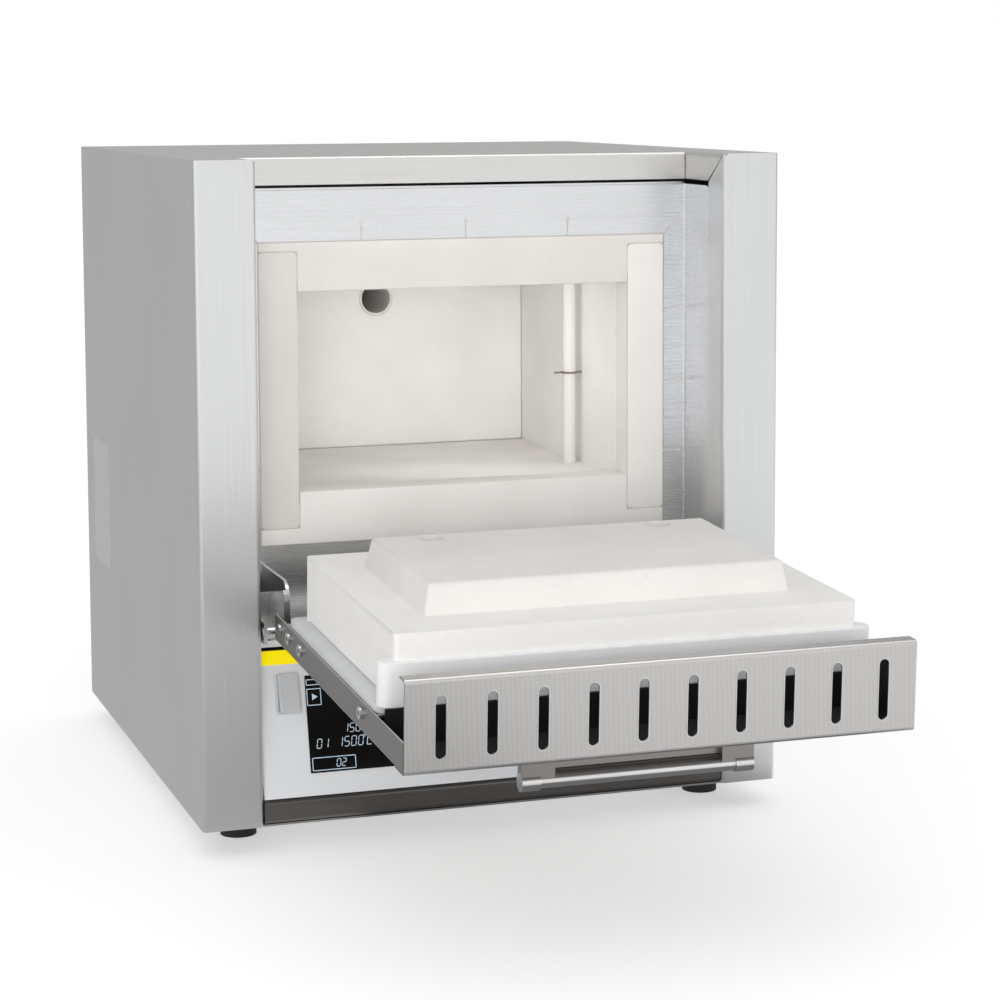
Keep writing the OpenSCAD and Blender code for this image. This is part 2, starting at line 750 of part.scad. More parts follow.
module chamber_rear_plate() {
    color("#dcd8d2") in_casing() difference() {
        block([-half_c, half_c], [chamber_end, plate_end], [chamber_z, mouth_top]);
        translate([0, 0, exhaust_h]) rod_y([chamber_end - 1, plate_end + 1], exhaust_hole);
    }
}

// A ceramic side plate with its coils' bores.
module heating_plate() {
    color("#dcd8d2") in_casing() difference() {
        block([half_c, shell_x], [chamber_y, plate_end], [chamber_z, mouth_top]);
        for (i = [0:coil_count - 1]) translate([coil_x, 0, chamber_z + (i + 0.5) * coil_pitch])
            rod_y([chamber_y + 8, plate_end + 1], coil_d + 0.4);
    }
}

module left_heating_plate() { mirror([1, 0, 0]) heating_plate(); }
module right_heating_plate() { heating_plate(); }

// Heating coils, each drawn as the tube that its turns fill.
module heating_coils() {
    color("#8a7f78") in_casing() both_sides() for (i = [0:coil_count - 1])
        translate([coil_x, 0, chamber_z + (i + 0.5) * coil_pitch]) difference() {
            rod_y([chamber_y + 8.2, plate_end - 0.2], coil_d);
            rod_y([chamber_y + 7, plate_end + 1], coil_d - 3);
        }
}

module side_insulation() {
    color("#f0eeea") in_casing() difference() {
        block([shell_x, housing_x - seat], [frame_back + seat, plate_end], [shell_z, shell_top]);
        collar_room();
    }
}

module left_insulation() { mirror([1, 0, 0]) side_insulation(); }
module right_insulation() { side_insulation(); }

module top_insulation() {
    color("#f0eeea") in_casing() difference() {
        block([seat - housing_x, housing_x - seat], [frame_back + seat, plate_end], [shell_top, housing_top - seat]);
        collar_room();
        translate([0, probe_y, shell_top - 1]) cylinder(h = housing_top, d = probe_d + 0.6);
    }
}

module bottom_insulation() {
    color("#f0eeea") in_casing() difference() {
        block([seat - housing_x, housing_x - seat], [frame_back + seat, plate_end], [housing_z, shell_z]);
        collar_room();
    }
}

module rear_insulation() {
    color("#f0eeea") in_casing() difference() {
        block([seat - housing_x, housing_x - seat], [plate_end, housing_end - seat], [housing_z, housing_top - seat]);
        translate([0, 0, exhaust_h]) rod_y([plate_end - 1, housing_end], exhaust_hole);
    }
}

// Ceramic tubes that stand in front of the side plates.
module element_tubes() {
    color("#cfc9c0") in_casing() both_sides() translate([tube_x, tube_y, chamber_z]) difference() {
        cylinder(h = chamber_h, d = tube_d);
        translate([0, 0, -1]) cylinder(h = chamber_h + 2, d = tube_d - 5);
    }
}

// Wire clips that tie the tubes to the side plates.
module tube_clips() {
    ring_r = (tube_d + clip_wire) / 2 + 0.1;
    color("#6d665f") in_casing() both_sides() translate([tube_x, tube_y, chamber_z + chamber_h * 0.48]) {
        rotate_extrude() translate([ring_r, 0]) circle(clip_wire / 2, $fn = 16);
        rod_x([ring_r, tube_inset - 0.1], clip_wire);
        rod_x([-ring_r - 7, -ring_r], clip_wire);
    }
}

// Thermocouple sheath with its connection head on the housing.
module thermocouple() {
    color("#c9c4bc") in_casing() translate([0, probe_y, 0]) {
        translate([0, 0, mouth_top - probe_in]) cylinder(h = housing_top + housing_t + 4 - mouth_top + probe_in, d = probe_d);
        translate([0, 0, housing_top + housing_t]) cylinder(h = probe_head * 0.6, d = probe_head);
    }
}

// Ceramic tube from the chamber's rear wall out through the rear panel.
module exhaust_tube() {
    color("#d8d3cb") in_casing() translate([0, 0, exhaust_h]) difference() {
        rod_y([chamber_end, body_d + exhaust_out], exhaust_bore + 2 * exhaust_wall);
        rod_y([chamber_end - 1, body_d + exhaust_out + 1], exhaust_bore);
    }
}

// --- electrical bay -----------------------------------------------------------------
// Leaning panel with folded sides and the cut-outs for the display and the switch.
module control_panel() {
    color("#d3d6d9") on_panel() difference() {
        translate([0, panel_len, 0]) rotate([90, 0, 0]) linear_extrude(panel_len)
            folded([[-front_x, -14], [-front_x, 0], [front_x, 0], [front_x, -14]], -panel_t);
        block([-front_x - 1, front_x + 1], [-1, 10], [-20, -panel_t - 0.01]);
        block([-display_x - display_w / 2 - glass_gap, -display_x + display_w / 2 + glass_gap],
              [display_v - display_h / 2 - glass_gap, display_v + display_h / 2 + glass_gap], [-panel_t - 1, 1]);
        block([-switch_x - bezel_w / 2 + 0.7, -switch_x + bezel_w / 2 - 0.7],
              [switch_v - bezel_h / 2 + 0.7, switch_v + bezel_h / 2 - 0.7], [-panel_t - 1, 1]);
    }
}

module warning_band() {
    color("#ffee00") on_panel()
        block([-front_x + bend_r + panel_t, front_x - bend_r - panel_t], [panel_len - band_h, panel_len], [0, band_t]);
}

module display_glass() {
    color("#1b1b19") on_panel() translate([-display_x, display_v, display_proud - glass_t])
        linear_extrude(glass_t) arc_rect([-display_w / 2, display_w / 2], [-display_h / 2, display_h / 2], 1.5);
}

// Housing of the programmer behind the glass, with a pocket that seats the glass.
module controller_module() {
    color("#2b2c2d") on_panel() translate([-display_x, display_v, 0]) difference() {
        block([-display_w / 2 - module_border, display_w / 2 + module_border],
              [-display_h / 2 - module_border, display_h / 2 + module_border], [-module_d, -panel_t]);
        block([-display_w / 2 - glass_gap, display_w / 2 + glass_gap],
              [-display_h / 2 - glass_gap, display_h / 2 + glass_gap], [display_proud - glass_t, 0]);
    }
}

// Rim and case of the power switch, with the bearings for its rocker.
module switch_bezel() {
    color("#202122") on_panel() translate([-switch_x, switch_v, 0]) difference() {
        union() {
            block([-bezel_w / 2, bezel_w / 2], [-bezel_h / 2, bezel_h / 2], [0, 1.6]);
            block([-bezel_w / 2 + bezel_rim - case_wall, bezel_w / 2 - bezel_rim + case_wall],
                  [-bezel_h / 2 + bezel_rim - case_wall, bezel_h / 2 - bezel_rim + case_wall], [-case_depth, 0.5]);
        }
        block([-bezel_w / 2 + bezel_rim, bezel_w / 2 - bezel_rim],
              [-bezel_h / 2 + bezel_rim, bezel_h / 2 - bezel_rim], [-case_depth + 2, 5]);
        translate([0, 0, rocker_pivot]) rod_x([-bezel_w, bezel_w], rocker_pin + 0.1);
    }
}

// Rocker on its two bearing pins, pressed in at the top.
module power_rocker() {
    half = bezel_w / 2 - bezel_rim - 0.4;
    color("#3a3c3e") on_panel() translate([-switch_x, switch_v, rocker_pivot]) rotate([-rocker_tilt, 0, 0]) {
        along_x([-half, half])
            polygon([[0.8 - rocker_r, -3], [0.8 - rocker_r, 4.2], [0, 5.4], [rocker_r - 0.8, 4.2], [rocker_r - 0.8, -3]]);
        rod_x([-bezel_w / 2 + bezel_rim - case_wall + 0.1, bezel_w / 2 - bezel_rim + case_wall - 0.1], rocker_pin);
    }
}

// Contactor that switches the heating, with a shoulder and a rail foot.
module power_relay() {
    color("#3b3f45") in_casing() translate([bay_x, body_d - relay_back, base_t]) {
        block([-relay_w / 2, relay_w / 2], [-relay_d / 2, relay_d / 2], [0, relay_h - 16]);
        block([6 - relay_w / 2, relay_w / 2 - 6], [8 - relay_d / 2, relay_d / 2 - 8], [relay_h - 16, relay_h]);
        block([-relay_w / 2 - 4, relay_w / 2 + 4], [-8, 8], [0, 6]);
    }
}

// Row of terminals beside the mains inlet, each with a screw well and a wire mouth.
module terminal_block() {
    color("#c9c6b8") in_casing() translate([bay_x, body_d - terminal_back, base_t]) difference() {
        block([-terminal_len / 2, terminal_len / 2], [-terminal_d / 2, terminal_d / 2], [0, terminal_h]);
        for (i = [-2.5:2.5]) translate([i * terminal_pitch, 0, 0]) {
            translate([0, 0, terminal_h / 3]) cylinder(h = terminal_h, d = 7);
            block([-4, 4], [-terminal_d, 6 - terminal_d / 2], [6, terminal_h / 2]);
        }
    }
}

module inlet_place() { in_casing() translate([-inlet_x, body_d, inlet_z]) children(); }

// Appliance inlet: flange, cup with three blades and its two screw heads.
module mains_inlet() {
    color("#1d1e1f") inlet_place() {
        difference() {
            union() {
                block([-inlet_w / 2 - 11, inlet_w / 2 + 11], [0, 3], [-inlet_h / 2 - 2, inlet_h / 2 + 2]);
                block([-inlet_w / 2, inlet_w / 2], [-32, 1], [-inlet_h / 2, inlet_h / 2]);
            }
            block([2 - inlet_w / 2, inlet_w / 2 - 2], [-18, 4], [3 - inlet_h / 2, inlet_h / 2 - 3]);
        }
        for (x = [-7, 0, 7]) block([x - 1, x + 1], [-20, -3], [x == 0 ? 2 : -6, x == 0 ? 8 : 0]);
        both_sides() translate([inlet_w / 2 + 6, 0, 0]) rod_y([2, 4.5], 6);
    }
}

// Screws that hold the rear panel to the side panels.
module casing_screws() {
    color("#8f8f8e") in_casing() both_sides() for (z = rear_screws) translate([rear_screw_x, 0, z]) difference() {
        union() {
            rod_y([body_d, body_d + 2.4], screw_head);
            rod_y([flange_y - 8, body_d + 0.5], screw_d);
        }
        translate([0, body_d + 1.2, 0]) rotate([-90, 30, 0]) cylinder(h = 3, d = 4, $fn = 6);
    }
}

// --- hinges ---------------------------------------------------------------------------
// Cheek with a folded front strip, front plate, outer ear and foot, in one bracket.
module hinge_bracket() {
    color("#bcbcbb") in_casing() difference() {
        union() {
            intersection() {
                translate([0, 0, deck_z]) linear_extrude(cheek_h) union() {
                    block_2d([ear_x, ear_x + bracket_t], [hinge_y - 6.5 + bracket_t, recess_d - seat]);
                    block_2d([ear_x, ear_x + cheek_strip], [hinge_y - 6.5, hinge_y - 6.5 + bracket_t]);
                }
                along_x([ear_x - 1, ear_x + cheek_strip + 1]) union() {
                    polygon(concat([[recess_d, cheek_top], [recess_d, deck_z - 1], [hinge_y - 6.5, deck_z - 1]],
                                   [for (a = [180:-10:90])
                                       [hinge_y - 6.5 + cheek_r, cheek_top - cheek_r] + cheek_r * [cos(a), sin(a)]]));
                }
            }
            block([ear_x + bracket_t, bracket_x], [bracket_y, bracket_y + bracket_t], [deck_z, deck_z + bracket_h]);
            block([bracket_x - bracket_t, bracket_x], [hinge_y - 6, bracket_y], [deck_z, deck_z + 2 * hinge_rise]);
            block([ear_x + bracket_t, bracket_x], [bracket_y, recess_d - seat], [deck_z, deck_z + bracket_t]);
        }
        // the strip leaves room for the pin
        block([ear_x + bracket_t, ear_x + cheek_strip + 1], [hinge_y - 8, hinge_y + 8], [deck_z - 1, hinge_z + 9]);
        translate([0, hinge_y, hinge_z]) rod_x([ear_x - 1, bracket_x + 1], pin_d + 2 * pin_play);
    }
}

module block_2d(x, y) { translate([x[0], y[0]]) square([x[1] - x[0], y[1] - y[0]]); }

module left_hinge_bracket() { mirror([1, 0, 0]) hinge_bracket(); }
module right_hinge_bracket() { hinge_bracket(); }

// Pins through the arms, the cheeks and the outer ears, headed on the inside.
module hinge_pins() {
    color("#d5d5d6") in_casing() both_sides() translate([0, hinge_y, hinge_z]) {
        rod_x([arm_x - arm_t - arm_gap - 1, bracket_x + 0.6], pin_d);
        rod_x([arm_x - arm_t - arm_gap - 3, arm_x - arm_t - arm_gap], pin_d + 4);
    }
}

// Channel under the board's edge; its inner leg ends in the eye round the pin.
module hinge_arm() {
    leg_x = arm_x - arm_t;
    leg_top = inside_w + 18;
    color("#a09e9b") on_door() difference() {
        union() {
            along_y([-arm_end, -cheek_slot])
                folded([[leg_x, board_w], [leg_x, inside_w], [flange_in, inside_w], [flange_in, leg_top]], arm_t);
            along_x([leg_x, arm_x]) {
                polygon([[0, -eye_r], [pan_start > 11 ? -11 : -pan_start, inside_w], [-arm_end, inside_w],
                         [-arm_end, board_w], [-32, board_w], [0, eye_r]]);
                circle(eye_r);
            }
            block([flange_in - arm_t, flange_in], [-cheek_slot - 6, -arm_screws[0] + 10], [inside_w + 2 * bend_r, leg_top]);
        }
        rod_x([leg_x - 1, arm_x + 1], pin_d + 2 * pin_play);
        for (u = arm_screws) translate([0, -u, screw_w]) rod_x([flange_in - arm_t - 1, door_x], screw_d + 0.2);
    }
}

module left_hinge_arm() { mirror([1, 0, 0]) hinge_arm(); }
module right_hinge_arm() { hinge_arm(); }

// --- door -----------------------------------------------------------------------------
// Folded pan: outer face, side flanges and the slotted end panel with its lip.
module door_pan() {
    color("#b9b7b5") on_door() difference() {
        union() {
            along_y([lip_r - door_end, -pan_start])
                folded([[-door_x, skin_w + flange_h], [-door_x, skin_w], [door_x, skin_w],
                        [door_x, skin_w + flange_h]], door_t);
            along_x([-door_x, door_x])
                folded([[20 - door_end, skin_w], [-door_end, skin_w], [-door_end, skin_w + end_panel_h],
                        [end_lip - door_end, skin_w + end_panel_h]], -door_t);
        }
        along_y([-door_end - 1, 1 + lip_r - door_end])
            for (i = [0:slot_count - 1])
                translate([(i - (slot_count - 1) / 2) * slot_pitch, skin_w + slot_low + slot_len / 2])
                    rotate(90) slot(slot_len, slot_w);
        both_sides() {
            // slots that let the fixed cheeks through as the door closes
            block([arm_x + 0.1, ear_x + cheek_strip + 1], [-cheek_slot, 1 - pan_start], [skin_w - 1, inside_w + bend_r]);
            for (u = concat(arm_screws, support_screw))
                translate([0, -u, screw_w]) rod_x([flange_in - 1, door_x + 1], screw_d + 0.2);
        }
    }
}

// Angles and cross channels that hold the board off the pan.
module board_supports() {
    color("#9a9996") on_door() {
        both_sides() difference() {
            along_y([-support_screw - support_len / 2, -support_screw + support_len / 2])
                folded([[flange_in, inside_w + bend_r + seat], [flange_in, board_w], [flange_in - angle_leg, board_w]],
                       support_t);
            translate([0, -support_screw, screw_w]) rod_x([flange_in - 5, door_x], screw_d + 0.2);
        }
        for (k = [1, 2]) along_x([-cross_x, cross_x]) let (u = brick_near + k * (brick_far - brick_near) / 3)
            folded([[-u, inside_w], [-u - cross_w, inside_w], [-u - cross_w, board_w], [-u, board_w]], -support_t);
    }
}

// Holes through board, brick and plug for the anchors.
module anchor_holes() {
    both_sides() translate([anchor_x, -anchor_u, board_w - 1]) {
        cylinder(h = plug_top - board_w, d = anchor_shank + 0.6);
        translate([0, 0, cap_w - board_w + 1]) cylinder(h = plug_t, d = anchor_d);
    }
}

module door_board() {
    color("#d5d7da") on_door() difference() {
        translate([0, 0, board_w]) linear_extrude(board_t)
            arc_rect([-board_x, board_x], [-board_far, -brick_near + board_rear], board_r);
        anchor_holes();
    }
}

// Fibre strip that screens the brick's far edge above the board.
module door_strip() {
    color("#dfe1e3") on_door() translate([0, 0, brick_w]) linear_extrude(strip_h)
        arc_rect([-board_x, board_x], [-strip_far, -strip_near], board_r);
}

module door_brick() {
    color("#efedea") on_door() difference() {
        translate([0, 0, brick_w]) linear_extrude(brick_t)
            arc_rect([-brick_x, brick_x], [-brick_far, -brick_near], brick_r);
        block([-brick_x - 1, brick_x + 1], [-brick_far - 1, -strip_near], [brick_w - 1, brick_w + strip_h]);
        anchor_holes();
    }
}

// Plug that fills the mouth, tapered on all four sides.
module door_plug() {
    color("#f1efec") on_door() difference() {
        intersection() {
            along_x([-half_c, half_c])
                polygon([[-plug_far, face_w], [-plug_near, face_w], [-plug_near - plug_taper, plug_top],
                         [-plug_far + plug_taper, plug_top]]);
            along_y([-plug_far - 1, -plug_near + 1])
                polygon([[-plug_x, face_w], [plug_x, face_w], [plug_x - plug_taper, plug_top],
                         [plug_taper - plug_x, plug_top]]);
        }
        anchor_holes();
    }
}

// Screwed anchors with ceramic caps, let into the plug.
module brick_anchors() {
    color("#d9d5cf") on_door() both_sides() translate([anchor_x, -anchor_u, 0]) {
        translate([0, 0, inside_w]) cylinder(h = cap_w - inside_w + 2, d = anchor_shank);
        translate([0, 0, inside_w]) cylinder(h = board_w - inside_w, d = anchor_d - 5);
        translate([0, 0, cap_w]) cylinder(h = 4, d = anchor_d - 0.5);
    }
}

// Screws along the pan's side flanges.
module door_screws() {
    color("#c9c9ca") on_door() both_sides() for (u = concat(arm_screws, support_screw))
        translate([0, -u, screw_w]) difference() {
            union() {
                rod_x([door_x, door_x + 2.4], screw_head);
                rod_x([door_x - 7.2, door_x + 0.5], screw_d);
            }
            translate([door_x + 1.2, 0, 0]) rotate([0, 90, 0]) cylinder(h = 3, d = 3.6, $fn = 6);
        }
}

module door_nuts() {
    color("#a9a9a9") on_door() both_sides() {
        for (u = arm_screws) hex_nut([flange_in - arm_t - nut_t, -u, screw_w]);
        hex_nut([flange_in - support_t - nut_t, -support_screw, screw_w]);
    }
}

module hex_nut(p) {
    translate(p) difference() {
        rotate([0, 90, 0]) cylinder(h = nut_t, d = 2 * screw_d, $fn = 6);
        rod_x([-1, nut_t + 1], screw_d + 0.1);
    }
}

// --- handle ---------------------------------------------------------------------------
// Two flat posts from the door's face, hollowed to seat the bar and its sleeves.
module handle_posts() {
    color("#c9cacb") on_door() both_sides() difference() {
        block([bar_len / 2 - post_w, bar_len / 2], [-bar_u - post_t / 2, -bar_u + post_t / 2], [bar_w, skin_w]);
        translate([0, -bar_u, bar_w]) {
            rod_x([0, bar_len], bar_d + 0.1);
            rod_x([bar_len / 2 - sleeve_len - 0.1, bar_len], bar_d + 2.5);
        }
    }
}

module handle_bar() {
    color("#d8d9da") on_door() translate([0, -bar_u, bar_w]) rod_x([0.6 - bar_len / 2, bar_len / 2 - 0.6], bar_d);
}

module handle_sleeves() {
    color("#c2c3c4") on_door() both_sides() translate([0, -bar_u, bar_w]) difference() {
        rod_x([bar_len / 2 - sleeve_len, bar_len / 2], bar_d + 2.4);
        rod_x([bar_len / 2 - sleeve_len - 1, bar_len / 2 - 0.5], bar_d + 0.1);
    }
}

left_side_panel();
right_side_panel();
top_cover();
rear_panel();
base_plate();
feet();
bottom_rail();
deck_plate();
front_frame();
inner_housing();
housing_supports();
collar_top_brick();
collar_bottom_brick();
left_jamb_brick();
right_jamb_brick();
chamber_floor();
chamber_roof();
chamber_rear_plate();
left_heating_plate();
right_heating_plate();
heating_coils();
left_insulation();
right_insulation();
top_insulation();
bottom_insulation();
rear_insulation();
element_tubes();
tube_clips();
thermocouple();
exhaust_tube();
control_panel();
warning_band();
display_glass();
controller_module();
switch_bezel();
power_rocker();
power_relay();
terminal_block();
mains_inlet();
casing_screws();
left_hinge_bracket();
right_hinge_bracket();
hinge_pins();
left_hinge_arm();
right_hinge_arm();
door_pan();
board_supports();
door_board();
door_strip();
door_brick();
door_plug();
brick_anchors();
door_screws();
door_nuts();
handle_posts();
handle_bar();
handle_sleeves();
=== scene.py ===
"""Dresses a bench muffle furnace: finishes, softened ceramic blocks, trim, display and studio."""

import json
import logging
import math
from dataclasses import dataclass
from enum import Enum
from typing import Any, Callable, Iterable, Sequence

import bpy
from mathutils import Matrix, Vector

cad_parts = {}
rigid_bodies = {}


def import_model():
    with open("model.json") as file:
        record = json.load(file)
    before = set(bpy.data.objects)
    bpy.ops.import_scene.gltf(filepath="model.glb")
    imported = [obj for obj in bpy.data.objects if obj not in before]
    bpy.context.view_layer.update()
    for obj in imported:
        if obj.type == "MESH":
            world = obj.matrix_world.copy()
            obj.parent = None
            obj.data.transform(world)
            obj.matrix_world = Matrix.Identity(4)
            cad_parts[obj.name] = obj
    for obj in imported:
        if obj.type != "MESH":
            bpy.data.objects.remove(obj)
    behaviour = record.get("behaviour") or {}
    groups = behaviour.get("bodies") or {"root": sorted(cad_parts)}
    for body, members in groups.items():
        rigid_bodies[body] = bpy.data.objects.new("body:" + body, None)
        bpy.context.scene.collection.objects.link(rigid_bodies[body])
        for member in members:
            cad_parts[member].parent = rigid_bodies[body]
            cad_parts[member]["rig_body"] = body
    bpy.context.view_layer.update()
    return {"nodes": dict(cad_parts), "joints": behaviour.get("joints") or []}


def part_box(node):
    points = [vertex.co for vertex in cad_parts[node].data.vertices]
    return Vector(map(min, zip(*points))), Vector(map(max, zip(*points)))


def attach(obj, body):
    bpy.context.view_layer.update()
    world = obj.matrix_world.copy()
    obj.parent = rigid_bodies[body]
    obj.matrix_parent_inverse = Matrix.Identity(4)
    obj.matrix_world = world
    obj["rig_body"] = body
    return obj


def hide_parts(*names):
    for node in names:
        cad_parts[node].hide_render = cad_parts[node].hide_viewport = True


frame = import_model()

log = logging.getLogger("furnace")

MM = 0.001
QUARTER_TURN = math.radians(90)
# how far the control panel leans back
PANEL_LEAN = math.radians(14)

Tree = bpy.types.NodeTree
Node = bpy.types.Node
Socket = bpy.types.NodeSocket
Piece = bpy.types.Object


# --- node tools -----------------------------------------------------------------------


def linear(colour: str) -> tuple[float, float, float, float]:
    """Turns an sRGB colour into the linear values that a shader takes.

    Args:
        colour: The colour as six hex digits.

    Returns:
        Red, green, blue and alpha.
    """
    parts = [int(colour[i : i + 2], 16) / 255 for i in (0, 2, 4)]
    red, green, blue = (p / 12.92 if p <= 0.04045 else ((p + 0.055) / 1.055) ** 2.4 for p in parts)
    return red, green, blue, 1.0


def shade(colour: str, factor: float) -> str:
    """Makes a hex colour lighter or darker by a factor on its sRGB values."""
    parts = [min(255, max(0, round(int(colour[i : i + 2], 16) * factor))) for i in (0, 2, 4)]
    return "".join(f"{p:02x}" for p in parts)


def feed(node: Node, inputs: dict[Any, Any]) -> None:
    """Sets the inputs of a node, or links them.

    Args:
        node: The node.
        inputs: Values or output sockets by the name or number of the input they go to.
    """
    for name, value in inputs.items():
        if isinstance(value, Socket):
            node.id_data.links.new(value, node.inputs[name])
        else:
            node.inputs[name].default_value = value


def add(tree: Tree, kind: str, inputs: dict[Any, Any] | None = None, **settings: Any) -> Node:
    """Adds a node with its settings and inputs.

    Args:
        tree: The node tree that gets the node.
        kind: The shader node's type, such as Bump.
        inputs: Values or output sockets for its inputs.
        settings: Properties of the node itself.

    Returns:
        The new node.
    """
    node = tree.nodes.new(f"ShaderNode{kind}")
    for name, value in settings.items():
        setattr(node, name, value)
    feed(node, inputs or {})
    return node


def emptied(owner: bpy.types.Material | bpy.types.World) -> Tree:
    """Gives the node tree of a material or a world, emptied.

    Args:
        owner: The material or the world.

    Returns:
        Its node tree.
    """
    owner.use_nodes = True
    owner.node_tree.nodes.clear()
    return owner.node_tree


def new_material(name: str) -> tuple[bpy.types.Material, Tree, Node]:
    """Makes a material with a bare Principled surface.

    Args:
        name: The material's name.

    Returns:
        The material, its node tree and the Principled node.
    """
    material = bpy.data.materials.new(name)
    tree = emptied(material)
    surface = add(tree, "BsdfPrincipled")
    add(tree, "OutputMaterial", {"Surface": surface.outputs[0]})
    return material, tree, surface


def object_point(tree: Tree, scale: Sequence[float], turn: Sequence[float] = (0, 0, 0)) -> Socket:
    """Gives the object's own coordinates, scaled for a pattern.

    Args:
        tree: The material's node tree.
        scale: Pattern cells per metre along each axis.
        turn: Rotation of the pattern in radians.

    Returns:
        The vector output to feed a texture.
    """
    place = add(tree, "TexCoord")
    turned = add(tree, "Mapping", {"Vector": place.outputs["Object"], "Rotation": turn})
    return add(tree, "Mapping", {"Vector": turned.outputs[0], "Scale": scale}).outputs[0]


def noise(tree: Tree, cells: float | Sequence[float], detail: float, harsh: float = 0.5) -> Socket:
    """Gives cloudy noise on the object's own coordinates.

    Args:
        tree: The material's node tree.
        cells: Cells per metre, one number or one for each axis.
        detail: How many finer layers lie on the first.
        harsh: How strong the finer layers are.

    Returns:
        The noise, mostly between 0.3 and 0.7.
    """
    scale = cells if isinstance(cells, tuple) else (cells, cells, cells)
    inputs = {"Vector": object_point(tree, scale), "Scale": 1.0, "Detail": detail, "Roughness": harsh}
    return add(tree, "TexNoise", inputs).outputs[0]


def maths(tree: Tree, operation: str, first: Socket | float, second: Socket | float = 0.0) -> Socket:
    """Gives the result of one Math node, such as ADD, on two values."""
    return add(tree, "Math", {0: first, 1: second}, operation=operation).outputs[0]


def ramp(tree: Tree, value: Socket, low: float, high: float, out: tuple[float, float] = (0.0, 1.0)) -> Socket:
    """Maps a texture's value from low..high to the range out, clamped."""
    inputs = {"Value": value, "From Min": low, "From Max": high, "To Min": out[0], "To Max": out[1]}
    return add(tree, "MapRange", inputs).outputs[0]


def mixed(tree: Tree, amount: Socket, first: Socket | str, second: str) -> Socket:
    """Mixes two colours by a pattern, which is 0 where the first shows and 1 where the second does."""
    start = linear(first) if isinstance(first, str) else first
    return add(tree, "Mix", {0: amount, 6: start, 7: linear(second)}, data_type="RGBA").outputs[2]


def mottled(tree: Tree, colour: str, contrast: float, amount: Socket) -> Socket:
    """Gives a colour that a pattern makes darker and lighter by the share contrast."""
    return mixed(tree, amount, shade(colour, 1 - contrast), shade(colour, 1 + contrast))


def relief(tree: Tree, height: Socket, strength: float, deep_mm: float) -> Socket:
    """Gives a normal that shows a pattern as bumps deep_mm deep, or less at a strength below 1."""
    return add(tree, "Bump", {"Height": height, "Strength": strength, "Distance": deep_mm * MM}).outputs[0]


class Grain(Enum):
    """The way that a sheet was ground or rolled, as cells per metre along X, Y and Z."""

    ALONG_X = (9.0, 1400.0, 1400.0)
    ALONG_Y = (1400.0, 9.0, 1400.0)
    ALONG_Z = (1400.0, 1400.0, 9.0)


# --- finishes -------------------------------------------------------------------------


@dataclass(frozen=True)
class GroundSteel:
    """Stainless sheet ground with a belt: fine lines along one way, soft stretched highlights.

    The real lines are about 0.1 mm apart; they are drawn at about 0.7 mm so that they show.
    """

    name: str
    colour: str
    grain: Grain
    roughness: float = 0.34
    contrast: float = 0.05
    depth: float = 0.25
    groove_mm: float = 0.08

    def build(self) -> bpy.types.Material:
        """Makes the material."""
        material, tree, surface = new_material(self.name)
        lines = noise(tree, self.grain.value, 4.0, 0.7)
        cloud = noise(tree, 7, 2.0)
        both = maths(tree, "ADD", lines, ramp(tree, cloud, 0.35, 0.65, (-0.08, 0.08)))
        colour = mottled(tree, self.colour, self.contrast, ramp(tree, both, 0.32, 0.68))
        rough = ramp(tree, lines, 0.3, 0.7, (self.roughness + 0.05, self.roughness - 0.05))
        normal = relief(tree, lines, self.depth, self.groove_mm)
        feed(surface, {"Base Color": colour, "Roughness": rough, "Metallic": 1.0, "Normal": normal})
        return material


@dataclass(frozen=True)
class LinenSteel:
    """Stainless sheet rolled with a fine linen pattern, which breaks its highlights into dots.

    Two sets of ridges cross at 45 degrees. The real ones are about 0.8 mm apart and are drawn
    at about 1.9 mm, the finest that the render shows without stripes. Faces turned sideways
    get a darker colour, which is painted shade.
    """

    name: str
    colour: str
    pitch_mm: float = 1.9
    roughness: float = 0.36
    contrast: float = 0.022
    depth: float = 0.18
    ridge_mm: float = 0.1
    painted_side_shade: float = 0.7

    def build(self) -> bpy.types.Material:
        """Makes the material."""
        material, tree, surface = new_material(self.name)
        turns = 1000 / self.pitch_mm / 6.2832 * 2
        ridges = []
        for angle in (0.72, -0.72):
            point = object_point(tree, (turns, turns, turns), (angle, angle * 0.98, angle))
            inputs = {"Vector": point, "Scale": 1.0, "Distortion": 0.6, "Detail": 1.0}
            ridges.append(add(tree, "TexWave", inputs, bands_direction="X").outputs[1])
        cross = maths(tree, "MULTIPLY", *ridges)
        cloud = noise(tree, 11, 3.0)
        soft = maths(tree, "ADD", cross, ramp(tree, cloud, 0.3, 0.7, (-0.12, 0.12)))
        rolled = mottled(tree, self.colour, self.contrast, soft)
        # painted shade: faces turned sideways are made darker
        facing = add(tree, "NewGeometry").outputs["True Normal"]
        sideways = maths(tree, "ABSOLUTE", add(tree, "SeparateXYZ", {0: facing}).outputs["X"])
        colour = mixed(tree, ramp(tree, sideways, 0.8, 0.95), rolled, shade(self.colour, self.painted_side_shade))
        rough = ramp(tree, cloud, 0.3, 0.7, (self.roughness - 0.03, self.roughness + 0.03))
        normal = relief(tree, cross, self.depth, self.ridge_mm)
        feed(surface, {"Base Color": colour, "Roughness": rough, "Metallic": 1.0, "Normal": normal})
        return material


